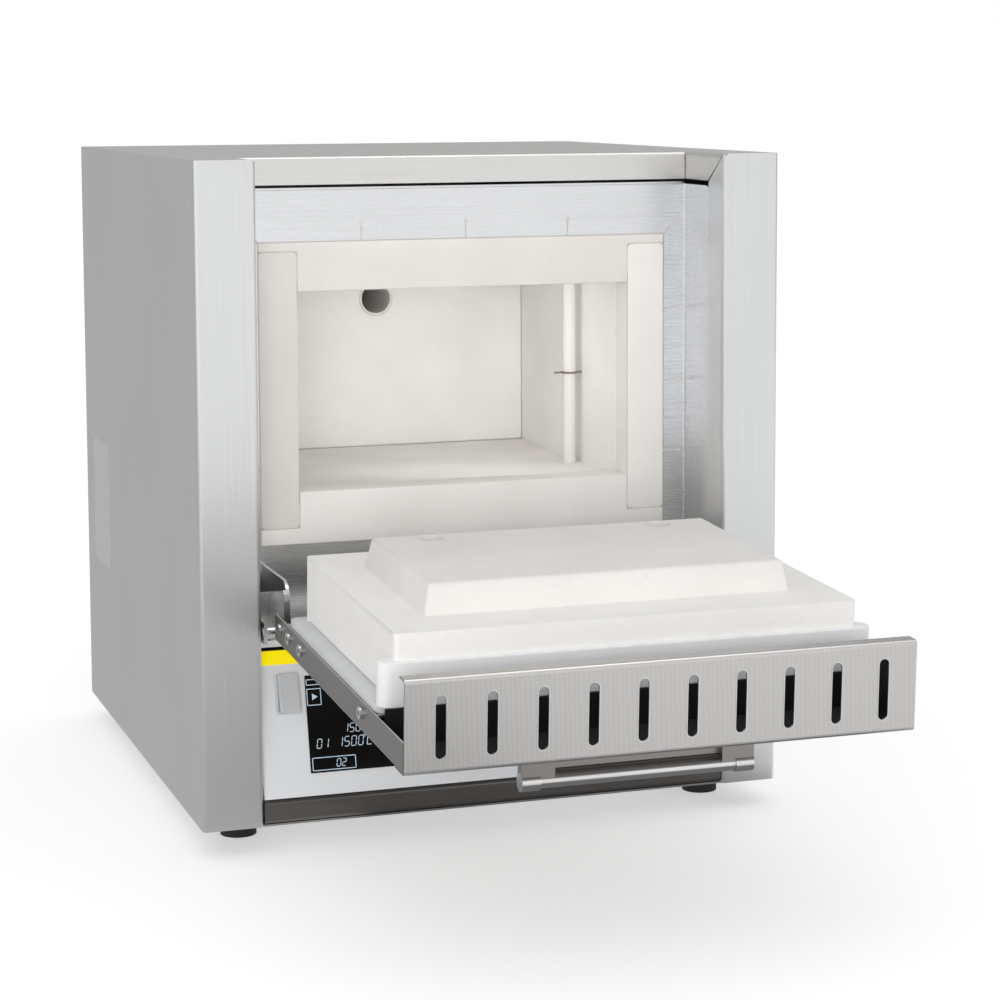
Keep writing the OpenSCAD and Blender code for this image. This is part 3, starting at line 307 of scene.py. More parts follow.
@dataclass(frozen=True)
class FibreCeramic:
    """Vacuum-formed ceramic fibre: chalky, without gloss, with felted dimples and tiny pores darkened by painted
    shade.
    """

    name: str
    colour: str
    felt_mm: float = 2.2
    contrast: float = 0.012
    depth: float = 0.8
    pores: float = 0.14
    dimple_mm: float = 0.4

    def build(self) -> bpy.types.Material:
        """Makes the material."""
        material, tree, surface = new_material(self.name)
        felt = noise(tree, 1000 / self.felt_mm, 5.0, 0.65)
        stain = noise(tree, 16, 3.0)
        inputs = {"Vector": object_point(tree, (170, 170, 170)), "Scale": 1.0, "Randomness": 1.0}
        pit = ramp(tree, add(tree, "TexVoronoi", inputs).outputs["Distance"], 0.05, 0.12, (1.0, 0.0))
        base = mottled(tree, self.colour, self.contrast, ramp(tree, stain, 0.3, 0.7))
        # painted shade: the pits are darkened in colour
        colour = mixed(tree, maths(tree, "MULTIPLY", pit, self.pores), base, shade(self.colour, 0.62))
        height = maths(tree, "ADD", felt, ramp(tree, pit, 0, 1, (0, -0.5)))
        normal = relief(tree, height, self.depth, self.dimple_mm)
        feed(surface, {"Base Color": colour, "Roughness": 0.95, "Specular IOR Level": 0.15, "Normal": normal})
        return material


@dataclass(frozen=True)
class SmoothCoat:
    """A moulded, painted or turned surface with a fine orange-peel that softens its gloss."""

    name: str
    colour: str
    roughness: float = 0.4
    peel_mm: float = 1.4
    depth: float = 0.06
    ior: float = 1.5
    metallic: float = 0.0
    contrast: float = 0.012
    glow: float = 0.0
    wave_mm: float = 0.2

    def build(self) -> bpy.types.Material:
        """Makes the material."""
        material, tree, surface = new_material(self.name)
        peel = noise(tree, 1000 / self.peel_mm, 2.0)
        cloud = noise(tree, 14, 2.0)
        colour = mottled(tree, self.colour, self.contrast, ramp(tree, cloud, 0.3, 0.7))
        rough = ramp(tree, cloud, 0.3, 0.7, (max(0.02, self.roughness - 0.03), self.roughness + 0.03))
        inputs = {"Base Color": colour, "Roughness": rough, "Metallic": self.metallic, "IOR": self.ior,
                  "Normal": relief(tree, peel, self.depth, self.wave_mm)}
        # the glow is emission; on the warning film it is painted light
        if self.glow:
            inputs.update({"Emission Color": linear(self.colour), "Emission Strength": self.glow})
        feed(surface, inputs)
        return material


@dataclass(frozen=True)
class DisplayMark:
    """Lit segments of a display, which look pale blue against the black glass."""

    name: str = "display_segment_light"
    colour: str = "b4c8d6"
    glow: float = 0.34

    def build(self) -> bpy.types.Material:
        """Makes the material."""
        material, tree, surface = new_material(self.name)
        colour = mixed(tree, noise(tree, 300, 1.0), shade(self.colour, 0.94), self.colour)
        feed(surface, {"Base Color": colour, "Roughness": 0.5,
                       "Emission Color": linear(self.colour), "Emission Strength": self.glow})
        return material


class Finish(Enum):
    """Every finish of the furnace, by the piece that it was made for."""

    # large calm sheets: a soft sheen with barely visible upright lines
    CASING = GroundSteel("belt_ground_stainless_casing", "d9dadb", Grain.ALONG_Z, 0.34, 0.012, 0.08)
    # the lines run across the furnace, a touch warmer and duller than the sides
    TOP = GroundSteel("belt_ground_stainless_top", "d9d8d6", Grain.ALONG_X, 0.36, 0.015, 0.1)
    # a fine woven sparkle that no belt-ground sheet has
    DOOR = LinenSteel("linen_rolled_stainless_door", "cfcdcb")
    # bright lines across, cooler than the warm fibre beside them
    FRAME = GroundSteel("belt_ground_stainless_frame", "dcdddf", Grain.ALONG_X, 0.27, 0.02, 0.12)
    # almost a mirror, so that it shows the dark and pale things over it as streaks
    DECK = GroundSteel("belt_ground_stainless_deck", "ececec", Grain.ALONG_X, 0.16, 0.03, 0.15)
    # painted shade and painted reflection: a dark brown-grey band under the white panel, darkened for the door's
    # shade and the dark floor that it mirrors
    RAIL = GroundSteel("belt_ground_stainless_rail_painted_shade", "75726f", Grain.ALONG_X, 0.38, 0.08)
    # crisp glints on the hinge cheeks
    BRACKET = GroundSteel("belt_ground_stainless_bracket", "d8d7d6", Grain.ALONG_Z, 0.3)
    # painted shade: dull, and dark with the door's shade painted into its colour
    ARM = GroundSteel("belt_ground_stainless_arm_painted_shade", "5a5754", Grain.ALONG_Y, 0.36)
    # one long highlight over a dark lower half
    BAR = GroundSteel("polished_stainless_tube", "dcdbda", Grain.ALONG_X, 0.2, 0.03, 0.08)
    # matt grey beside the shining bar
    POST = SmoothCoat("bead_blasted_aluminium", "a19d9a", 0.4, 0.6, 0.12, metallic=1.0)
    # the bar's highlight, broken where the sleeve begins
    SLEEVE = SmoothCoat("turned_stainless_sleeve", "dcdbda", 0.18, 0.5, 0.04, metallic=1.0)
    # painted shade: a dark strip that stands in for the shade above the bar
    SHADE = SmoothCoat("painted_shade_dark_strip", "3b3835", 0.5, contrast=0.05)
    # a thin bright ring round each slot
    RIM = SmoothCoat("burnished_stainless_edge", "dddcda", 0.28, depth=0.03, metallic=1.0)
    # painted shade: deep black with a rough nap, a sheet that stands in for the shade inside the door and makes the
    # slots look open
    SHADE_SHEET = SmoothCoat("painted_shade_black_sheet", "0d0d0d", 0.9, 1.2, 0.5, contrast=0.2)
    # small hard sparkles
    SCREW = SmoothCoat("bright_zinc_steel", "d8d8da", 0.2, depth=0.03, metallic=1.0)
    # cloudy grey of the hidden sheets
    ZINC = SmoothCoat("zinc_plated_sheet", "a9a9a8", 0.38, 4.0, metallic=1.0, contrast=0.05)
    # brownish wire against the white tube
    CLIP = SmoothCoat("heat_tinted_wire_clip", "a2978a", metallic=0.9, contrast=0.06)
    # dark scale on the coils
    WIRE = SmoothCoat("oxidised_heating_wire", "6d665f", 0.55, metallic=0.8, contrast=0.15)
    # warm off-white, chalky
    COLLAR = FibreCeramic("vacuum_formed_fibre_collar", "efebe6")
    # painted light: the same fibre, paler, which lifts the right jamb and the bottom brick out of their shade
    COLLAR_PAINTED_LIGHT = FibreCeramic("vacuum_formed_fibre_collar_painted_light", "f8f5f1")
    # painted shade: the same fibre, darker, for the left jamb
    JAMB_PAINTED_SHADE = FibreCeramic("vacuum_formed_fibre_jamb_painted_shade", "e9e4df", contrast=0.014)
    # a darker warm line in the joints
    FILLING = FibreCeramic("felt_joint_filling", "d2cbc2", 1.0, 0.022, pores=0.0)
    # a little cooler and whiter than the collar
    CHAMBER = FibreCeramic("vacuum_formed_fibre_chamber", "f6f4f1", contrast=0.015)
    # painted light: the whitest copy of the fibre, which lifts the brick's shaded top; with single dark pores
    BRICK = FibreCeramic("vacuum_formed_fibre_brick_painted_light", "f9f7f4")
    # painted shade: a greyer copy of the same fibre, which darkens the plug's brightly lit top and front
    PLUG = FibreCeramic("vacuum_formed_fibre_plug_painted_shade", "ebe9e5")
    # smooth and hard beside the fibre
    TUBE = FibreCeramic("fired_ceramic_tube", "e9e7e2", 0.8, 0.022, 0.15, 0.0)
    # fluffy edges where insulation shows
    WOOL = FibreCeramic("needled_fibre_blanket", "f4f2ee", 3.5, 0.022, 1.0)
    # cool white and even, unlike the warm brick on it
    BOARD = FibreCeramic("pressed_silicate_board", "f5f6f7", 1.2, 0.01, 0.25, 0.03)
    # painted shade: the same board, greyer where it lies in the shade of the pan
    BASE_BOARD = FibreCeramic("pressed_silicate_base_board_painted_shade", "d6d8da", 1.2, 0.015, 0.25, 0.03)
    # even pale grey with a soft sheen
    PANEL = SmoothCoat("satin_powder_coat_panel", "ebedef", 0.42)
    # fluorescent yellow film, whose glow is painted light that lifts it out of the door's shade
    YELLOW = SmoothCoat("fluorescent_warning_film_painted_glow", "ffe800", 0.5, depth=0.02, ior=1.3, glow=0.3)
    # flat black with a sharp reflection
    GLASS = SmoothCoat("black_display_glass", "121211", 0.12, depth=0.0, ior=1.28, contrast=0.05)
    # a grey key, slightly darker than its frame
    SWITCH = SmoothCoat("moulded_grey_switch", "cdced0", 0.38)
    # pale frame that nearly melts into the panel
    BEZEL = SmoothCoat("moulded_pale_bezel", "dee1e4", 0.42)
    # dull black housings
    PLASTIC = SmoothCoat("moulded_black_polyamide", "202122", 0.55, contrast=0.06)
    # yellowed white terminals
    CREAM = SmoothCoat("moulded_cream_polyamide", "c9c6b8", 0.5)
    # black without gloss, grainy
    RUBBER = SmoothCoat("moulded_black_rubber", "191919", 0.7, 0.8, 0.2, contrast=0.08)
    # a paler field on the steel side, without its lines
    LABEL = SmoothCoat("blank_polyester_label", "c9c8c6", 0.36, depth=0.02)
    MARK = DisplayMark()

    def material(self) -> bpy.types.Material:
        """Gives the finish's material, made once."""
        made = bpy.data.materials.get(self.value.name)
        return made or self.value.build()


# --- modelling by hand ----------------------------------------------------------------


# edges that turn more than this are sharp
SHARP = math.radians(35)


def mode(name: str) -> None:
    """Switches the active object to EDIT or OBJECT mode."""
    bpy.ops.object.mode_set(mode=name)


def bake(place: bool = True) -> None:
    """Puts the active object's turn and size in its mesh, and its place too unless told not to."""
    bpy.ops.object.transform_apply(location=place, rotation=True, scale=True)


def deselect() -> None:
    """Leaves nothing selected and no mode but object mode."""
    if bpy.context.object and bpy.context.object.mode != "OBJECT":
        mode("OBJECT")
    bpy.ops.object.select_all(action="DESELECT")


def select(piece: Piece) -> None:
    """Selects one object alone and makes it active."""
    deselect()
    piece.select_set(True)
    bpy.context.view_layer.objects.active = piece


def pick(piece: Piece, kind: str, test: Callable[[Any], bool]) -> None:
    """Selects faces or edges of a mesh in edit mode by a test.

    Args:
        piece: The object in edit mode.
        kind: FACE or EDGE.
        test: Says of each face or edge whether it is wanted.
    """
    bpy.ops.mesh.select_mode(type=kind)
    bpy.ops.mesh.select_all(action="DESELECT")
    mode("OBJECT")
    for element in piece.data.polygons if kind == "FACE" else piece.data.edges:
        if test(element):
            element.select = True
    mode("EDIT")


def modify(piece: Piece, kind: str, **settings: Any) -> None:
    """Adds a modifier with its settings and applies it.

    Args:
        piece: The object that gets the modifier.
        kind: The modifier's type, such as BEVEL.
        settings: The modifier's properties.
    """
    select(piece)
    modifier = piece.modifiers.new(kind.lower(), kind)
    for name, value in settings.items():
        setattr(modifier, name, value)
    bpy.ops.object.modifier_apply(modifier=modifier.name)


def finish_piece(piece: Piece, name: str, finish: Finish, body: str) -> None:
    """Names a piece, puts its place in its mesh, dresses it and sets its body and slot.

    Args:
        piece: The modelled object.
        name: The piece's name.
        finish: Its finish.
        body: The body that it rides on.
    """
    select(piece)
    bake()
    piece.name = piece.data.name = name
    piece.data.materials.clear()
    piece.data.materials.append(finish.material())
    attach(piece, body)
    log.info("%s: %d faces, %s", name, len(piece.data.polygons), finish.value.name)


def dress(finish: Finish, *nodes: str) -> None:
    """Gives CAD nodes a finish.

    Args:
        finish: The finish.
        nodes: Names of the nodes.
    """
    for name in nodes:
        for place in frame["nodes"][name].material_slots:
            place.material = finish.material()
        log.info("%s: %s", name, finish.value.name)


def long_edges(piece: Piece, long_mm: float, off_foot: Vector | None) -> set[int]:
    """Finds the long sharp edges of a mesh in edit mode.

    Args:
        piece: The object in edit mode.
        long_mm: How long an edge must be.
        off_foot: Direction away from the face that the block stands on, whose edges are left out.

    Returns:
        The numbers of the edges.
    """
    bpy.ops.mesh.select_mode(type="EDGE")
    bpy.ops.mesh.select_all(action="DESELECT")
    bpy.ops.mesh.edges_select_sharp(sharpness=SHARP)
    mode("OBJECT")
    mesh = piece.data
    ends = {e.index: [mesh.vertices[v].co for v in e.vertices] for e in mesh.edges if e.select}
    chosen = {i for i, (p, q) in ends.items() if (p - q).length >= long_mm * MM}
    if off_foot:
        foot = min(v.co.dot(off_foot) for v in mesh.vertices) + 0.5 * MM
        chosen = {i for i in chosen if max(p.dot(off_foot) for p in ends[i]) >= foot}
    mode("EDIT")
    return chosen


def soften(node: str, finish: Finish, radius_mm: float,
           long_mm: float = 0.0, off_foot: Vector | None = None) -> None:
    """Models a formed ceramic block from its solid, with the worn round edges of soft fibre.

    Args:
        node: The CAD node that the block stands for.
        finish: Its finish.
        radius_mm: Radius of the edges.
        long_mm: Where above 0, only straight edges at least this long are rounded.
        off_foot: Direction away from a face that stands on another block and keeps its edges.
    """
    source = frame["nodes"][node]
    deselect()
    piece = bpy.data.objects.new(f"{node}_block", source.data.copy())
    bpy.context.scene.collection.objects.link(piece)
    select(piece)
    mode("EDIT")
    bpy.ops.mesh.select_all(action="SELECT")
    bpy.ops.mesh.remove_doubles(threshold=0.02 * MM)
    bpy.ops.mesh.customdata_custom_splitnormals_clear()
    bpy.ops.mesh.dissolve_limited(angle_limit=math.radians(0.6))
    if long_mm:
        chosen = long_edges(piece, long_mm, off_foot)
        pick(piece, "EDGE", lambda e: e.index in chosen)
        bpy.ops.mesh.bevel(offset=radius_mm * MM, segments=4, affect="EDGES", clamp_overlap=False)
        mode("OBJECT")
    else:
        mode("OBJECT")
        modify(piece, "BEVEL", width=radius_mm * MM, segments=3, limit_method="ANGLE", angle_limit=SHARP)
    bpy.ops.object.shade_smooth_by_angle(angle=math.radians(28))
    finish_piece(piece, piece.name, finish, source["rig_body"])
    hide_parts(node)


def fresh(kind: str, size: Sequence[float], place: Sequence[float] = (0, 0, 0),
          turn: Sequence[float] = (0, 0, 0)) -> Piece:
    """Starts a piece from a unit cube or plane and leaves it in edit mode, all selected.

    Args:
        kind: cube or plane.
        size: Its sides in metres.
        place: Its middle.
        turn: Its rotation.

    Returns:
        The piece.
    """
    deselect()
    getattr(bpy.ops.mesh, f"primitive_{kind}_add")(size=1, location=place, rotation=turn)
    piece = bpy.context.object
    piece.scale = size
    bake(place=False)
    mode("EDIT")
    bpy.ops.mesh.select_all(action="SELECT")
    return piece


def slab(low: Sequence[float], high: Sequence[float], edge_mm: float) -> Piece:
    """Models a small flat bar or plate with broken edges.

    Args:
        low: Its lowest corner in millimetres.
        high: Its highest corner.
        edge_mm: Width of the broken edges.

    Returns:
        The plate, not yet dressed.
    """
    a, b = Vector(low) * MM, Vector(high) * MM
    piece = fresh("cube", b - a, (a + b) / 2)
    bpy.ops.mesh.bevel(offset=edge_mm * MM, segments=2, affect="EDGES")
    mode("OBJECT")
    return piece


def thicken(way: tuple[float, float, float]) -> None:
    """Pulls the flat mesh that is in edit mode to a thickness and turns its faces outwards.

    Args:
        way: Which way and how far, in metres.
    """
    bpy.ops.mesh.select_all(action="SELECT")
    bpy.ops.mesh.extrude_region_move(TRANSFORM_OT_translate={"value": way})
    bpy.ops.mesh.select_all(action="SELECT")
    bpy.ops.mesh.normals_make_consistent(inside=False)
    mode("OBJECT")


def joined(pieces: Sequence[Piece]) -> Piece:
    """Joins pieces of one kind into one object.

    Args:
        pieces: The pieces.

    Returns:
        The joined object.
    """
    deselect()
    for piece in pieces:
        piece.select_set(True)
    bpy.context.view_layer.objects.active = pieces[0]
    bpy.ops.object.join()
    piece = bpy.context.object
    select(piece)
    bake()
    return piece


# --- sub-assemblies -------------------------------------------------------------------


@dataclass
class Casing:
    """Folded stainless casing, its feet, and the blank plate low on the left side."""

    plate_back_mm: float = 76.0
    plate_width_mm: float = 74.0
    plate_low_mm: float = 132.0
    plate_height_mm: float = 110.0
    plate_thickness_mm: float = 0.3
    plate_corner_mm: float = 3.0

    def build(self) -> None:
        """Dresses the sheets and adds the plate."""
        dress(Finish.CASING, "left_side_panel", "right_side_panel", "rear_panel")
        dress(Finish.TOP, "top_cover")
        dress(Finish.RAIL, "bottom_rail")
        dress(Finish.DECK, "deck_plate")
        dress(Finish.ZINC, "base_plate", "inner_housing", "housing_supports")
        dress(Finish.RUBBER, "feet")
        dress(Finish.SCREW, "casing_screws")
        self.side_plate()

    def side_plate(self) -> None:
        """Models the thin blank plate with round corners on the left side panel."""
        low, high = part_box("left_side_panel")
        depth, height = self.plate_width_mm * MM, self.plate_height_mm * MM
        thick = self.plate_thickness_mm * MM
        sunk = thick * 0.4
        foot = low.z + self.plate_low_mm * MM
        middle = Vector((low.x + sunk, high.y - self.plate_back_mm * MM, foot + height / 2))
        piece = fresh("cube", (thick, depth, height), middle)
        corners = piece.data

        def along_x(edge: bpy.types.MeshEdge) -> bool:
            """Says whether an edge runs through the plate's thickness."""
            a, b = (corners.vertices[v].co for v in edge.vertices)
            return abs(a.y - b.y) < 1e-6 and abs(a.z - b.z) < 1e-6

        pick(piece, "EDGE", along_x)
        bpy.ops.mesh.bevel(offset=self.plate_corner_mm * MM, segments=5, affect="EDGES")
        mode("OBJECT")
        finish_piece(piece, "side_plate", Finish.LABEL, "furnace")


@dataclass
class HotBox:
    """Steel frame with its beads, fibre collar and its joints, chamber and what stands in it."""

    collar_edge_mm: float = 0.9
    chamber_edge_mm: float = 1.1
    rear_edge_mm: float = 2.4
    long_edge_mm: float = 12.0
    filling_depth_mm: float = 0.9
    filling_width_mm: float = 31.1
    filling_thick_mm: float = 1.2
    filling_over_mm: float = 1.0
    bead_high_mm: float = 1.9
    bead_wide_mm: float = 0.9
    bead_front_mm: float = 13.5
    bead_back_mm: float = 4.0

    def build(self) -> None:
        """Dresses the frame and softens the ceramic blocks."""
        dress(Finish.FRAME, "front_frame")
        # painted light and shade: the jambs and the bottom brick get paler and darker copies of the collar fibre
        for node, finish in (("collar_top_brick", Finish.COLLAR), ("left_jamb_brick", Finish.JAMB_PAINTED_SHADE),
                             ("right_jamb_brick", Finish.COLLAR_PAINTED_LIGHT), ("collar_bottom_brick", Finish.COLLAR_PAINTED_LIGHT)):
            soften(node, finish, self.collar_edge_mm)
        for node, edge, long in (("chamber_floor", self.chamber_edge_mm, 0.0),
                                 ("chamber_roof", self.chamber_edge_mm, self.long_edge_mm),
                                 ("chamber_rear_plate", self.rear_edge_mm, self.long_edge_mm)):
            soften(node, Finish.CHAMBER, edge, long)
        dress(Finish.CHAMBER, "left_heating_plate", "right_heating_plate")
        dress(Finish.TUBE, "element_tubes", "exhaust_tube", "thermocouple")
        dress(Finish.CLIP, "tube_clips")
        dress(Finish.WIRE, "heating_coils")
        self.joint_filling()
        self.beads()
        dress(Finish.WOOL, *(f"{side}_insulation" for side in ("left", "right", "top", "bottom", "rear")))

    def joint_filling(self) -> None:
        """Models the felt that closes the collar's joints, a flat ring just behind the bricks' faces."""
        low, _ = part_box("collar_bottom_brick")
        _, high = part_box("collar_top_brick")
        middle, size, more = (low + high) / 2, high - low, self.filling_over_mm * MM
        place = (middle.x, low.y + self.filling_depth_mm * MM, middle.z)
        piece = fresh("plane", (size.x + more, size.z + more, 1), place, (QUARTER_TURN, 0, 0))
        bpy.ops.mesh.inset(thickness=self.filling_width_mm * MM)
        bpy.ops.mesh.delete(type="FACE")
        thicken((0, self.filling_thick_mm * MM, 0))
        finish_piece(piece, "joint_filling", Finish.FILLING, "furnace")

    def beads(self) -> None:
        """Models the thin beads that line the gaps between frame, lintel and columns."""
        low, high = (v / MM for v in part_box("front_frame"))
        front, back = high.y - self.bead_front_mm, high.y - self.bead_back_mm
        lintel = slab((low.x + 2, front, high.z), (high.x - 2, back, high.z + self.bead_high_mm), 0.3)
        sides = []
        for left in (low.x + 0.1, high.x - 0.1 - self.bead_wide_mm):
            right = left + self.bead_wide_mm
            sides.append(slab((left, low.y - 3.1, low.z + 1), (right, low.y + 0.2, high.z - 1), 0.2))
        finish_piece(joined([lintel, *sides]), "recess_beads", Finish.FRAME, "furnace")


@dataclass
class Door:
    """Flap door: slotted pan with a black sheet of painted shade behind its slots, board, brick, plug, anchors,
    arms and handle.

    Sizes with _u_mm lie from the hinge towards the handle, and those with _w_mm above the pan.
    """

    brick_edge_mm: float = 3.2
    plug_edge_mm: float = 2.8
    board_edge_mm: float = 1.2
    long_edge_mm: float = 12.0
    droop: float = math.radians(3)
    end_mm: float = 350.0
    skin_mm: float = -4.0
    slots: int = 10
    slot_pitch_mm: float = 34.05
    slot_size_mm: tuple[float, float] = (7.0, 41.5)
    slot_middle_mm: float = 26.25
    rim_mm: float = 0.7
    shade_sheet_half_mm: float = 173.5
    shade_sheet_u_mm: tuple[float, float] = (258.0, 346.5)
    shade_sheet_thick_mm: float = 1.0
    upstand_u_mm: tuple[float, float] = (290.2, 291.5)
    upstand_w_mm: float = 22.5
    tab_u_mm: tuple[float, float] = (302.0, 346.0)
    tab_w_mm: float = 37.0
    bridge_half_mm: float = 60.0
    bridge_u_mm: tuple[float, float] = (294.5, 296.0)
    bridge_w_mm: float = -25.5
    shade_u_mm: tuple[float, float] = (295.0, 297.0)
    shade_w_mm: tuple[float, float] = (-33.0, -25.4)

    def build(self) -> None:
        """Dresses the metal and softens the three ceramic layers."""
        dress(Finish.DOOR, "door_pan")
        dress(Finish.ZINC, "board_supports")
        off_pan = self.place().to_3x3() @ Vector((0, 0, 1))
        soften("door_board", Finish.BASE_BOARD, self.board_edge_mm)
        soften("door_strip", Finish.BOARD, self.board_edge_mm)
        soften("door_brick", Finish.BRICK, self.brick_edge_mm, self.long_edge_mm)
        soften("door_plug", Finish.PLUG, self.plug_edge_mm, self.long_edge_mm, off_pan)
        dress(Finish.TUBE, "brick_anchors")
        dress(Finish.ARM, "left_hinge_arm", "right_hinge_arm")
        dress(Finish.BRACKET, "left_hinge_bracket", "right_hinge_bracket")
        dress(Finish.SCREW, "hinge_pins", "door_screws", "door_nuts")
        dress(Finish.BAR, "handle_bar")
        dress(Finish.POST, "handle_posts")
        dress(Finish.SLEEVE, "handle_sleeves")
        self.slot_rims()
        self.tray_shade_sheet()
        self.handle_bridge()

    def place(self) -> Matrix:
        """Gives the open door's place at its hinge, X along it, Y towards the casing, Z off its skin."""
        hinge = next(j for j in frame["joints"] if j["name"] == "door_hinge")
        return Matrix.Translation(hinge["pos_m"]) @ Matrix.Rotation(self.droop, 4, "X")

    def settle(self, piece: Piece, name: str, finish: Finish) -> None:
        """Takes a piece from the door's drawing to the door and finishes it there."""
        piece.matrix_world = self.place() @ piece.matrix_world
        finish_piece(piece, name, finish, "door")

    def slot_rims(self) -> None:
        """Models one burnished rim and copies it round each slot of the end panel."""
        wide, tall = (v * MM + 2 * self.rim_mm * MM for v in self.slot_size_mm)
        rim = fresh("plane", (wide, tall, 1))
        bpy.ops.mesh.bevel(offset=wide * 0.49, segments=5, affect="VERTICES")
        bpy.ops.mesh.select_all(action="SELECT")
        bpy.ops.mesh.inset(thickness=self.rim_mm * MM)
        bpy.ops.mesh.delete(type="FACE")
        thicken((0, 0, 0.25 * MM))
        rim.rotation_euler = (QUARTER_TURN, 0, 0)
        bake(place=False)
        rims = []
        reach, rise = -(self.end_mm + 0.02) * MM, self.slot_middle_mm * MM
        for i in range(self.slots):
            copy = bpy.data.objects.new(f"slot_rim_{i}", rim.data.copy())
            bpy.context.scene.collection.objects.link(copy)
            copy.location = ((i - (self.slots - 1) / 2) * self.slot_pitch_mm * MM, reach, rise)
            rims.append(copy)
        bpy.data.objects.remove(rim)
        self.settle(joined(rims), "slot_rims", Finish.RIM)

    def tray_shade_sheet(self) -> None:
        """Models a black sheet of painted shade that lines the tray behind the slots and turns up at its far side.
        """
        inside = self.skin_mm + 1.3
        over, half = inside + 0.8, self.shade_sheet_half_mm
        (near, far), (back, front), (start, end) = self.shade_sheet_u_mm, self.upstand_u_mm, self.tab_u_mm
        floor = slab((-half, -far, inside), (half, -near, inside + self.shade_sheet_thick_mm), 0.3)
        upstand = slab((1 - half, -front, over), (half - 1, -back, self.upstand_w_mm), 0.3)
        tab = slab((half - 2, -end, over), (half, -start, self.tab_w_mm), 0.5)
        self.settle(joined([floor, upstand, tab]), "tray_shade_sheet", Finish.SHADE_SHEET)

    def handle_bridge(self) -> None:
        """Models the bridge between the handle's posts and a dark strip of painted shade on its lower edge."""
        half = self.bridge_half_mm
        near, far = self.bridge_u_mm
        bridge = slab((-half, -far, self.bridge_w_mm), (half, -near, self.skin_mm - 0.1), 0.3)
        self.settle(bridge, "handle_bridge", Finish.POST)
        # painted shade: a dark strip where the bridge's lower edge lies in shade
        (near, far), (low, high) = self.shade_u_mm, self.shade_w_mm
        strip = slab((-half, -far, low), (half, -near, high), 0.4)
        self.settle(strip, "handle_shade", Finish.SHADE)


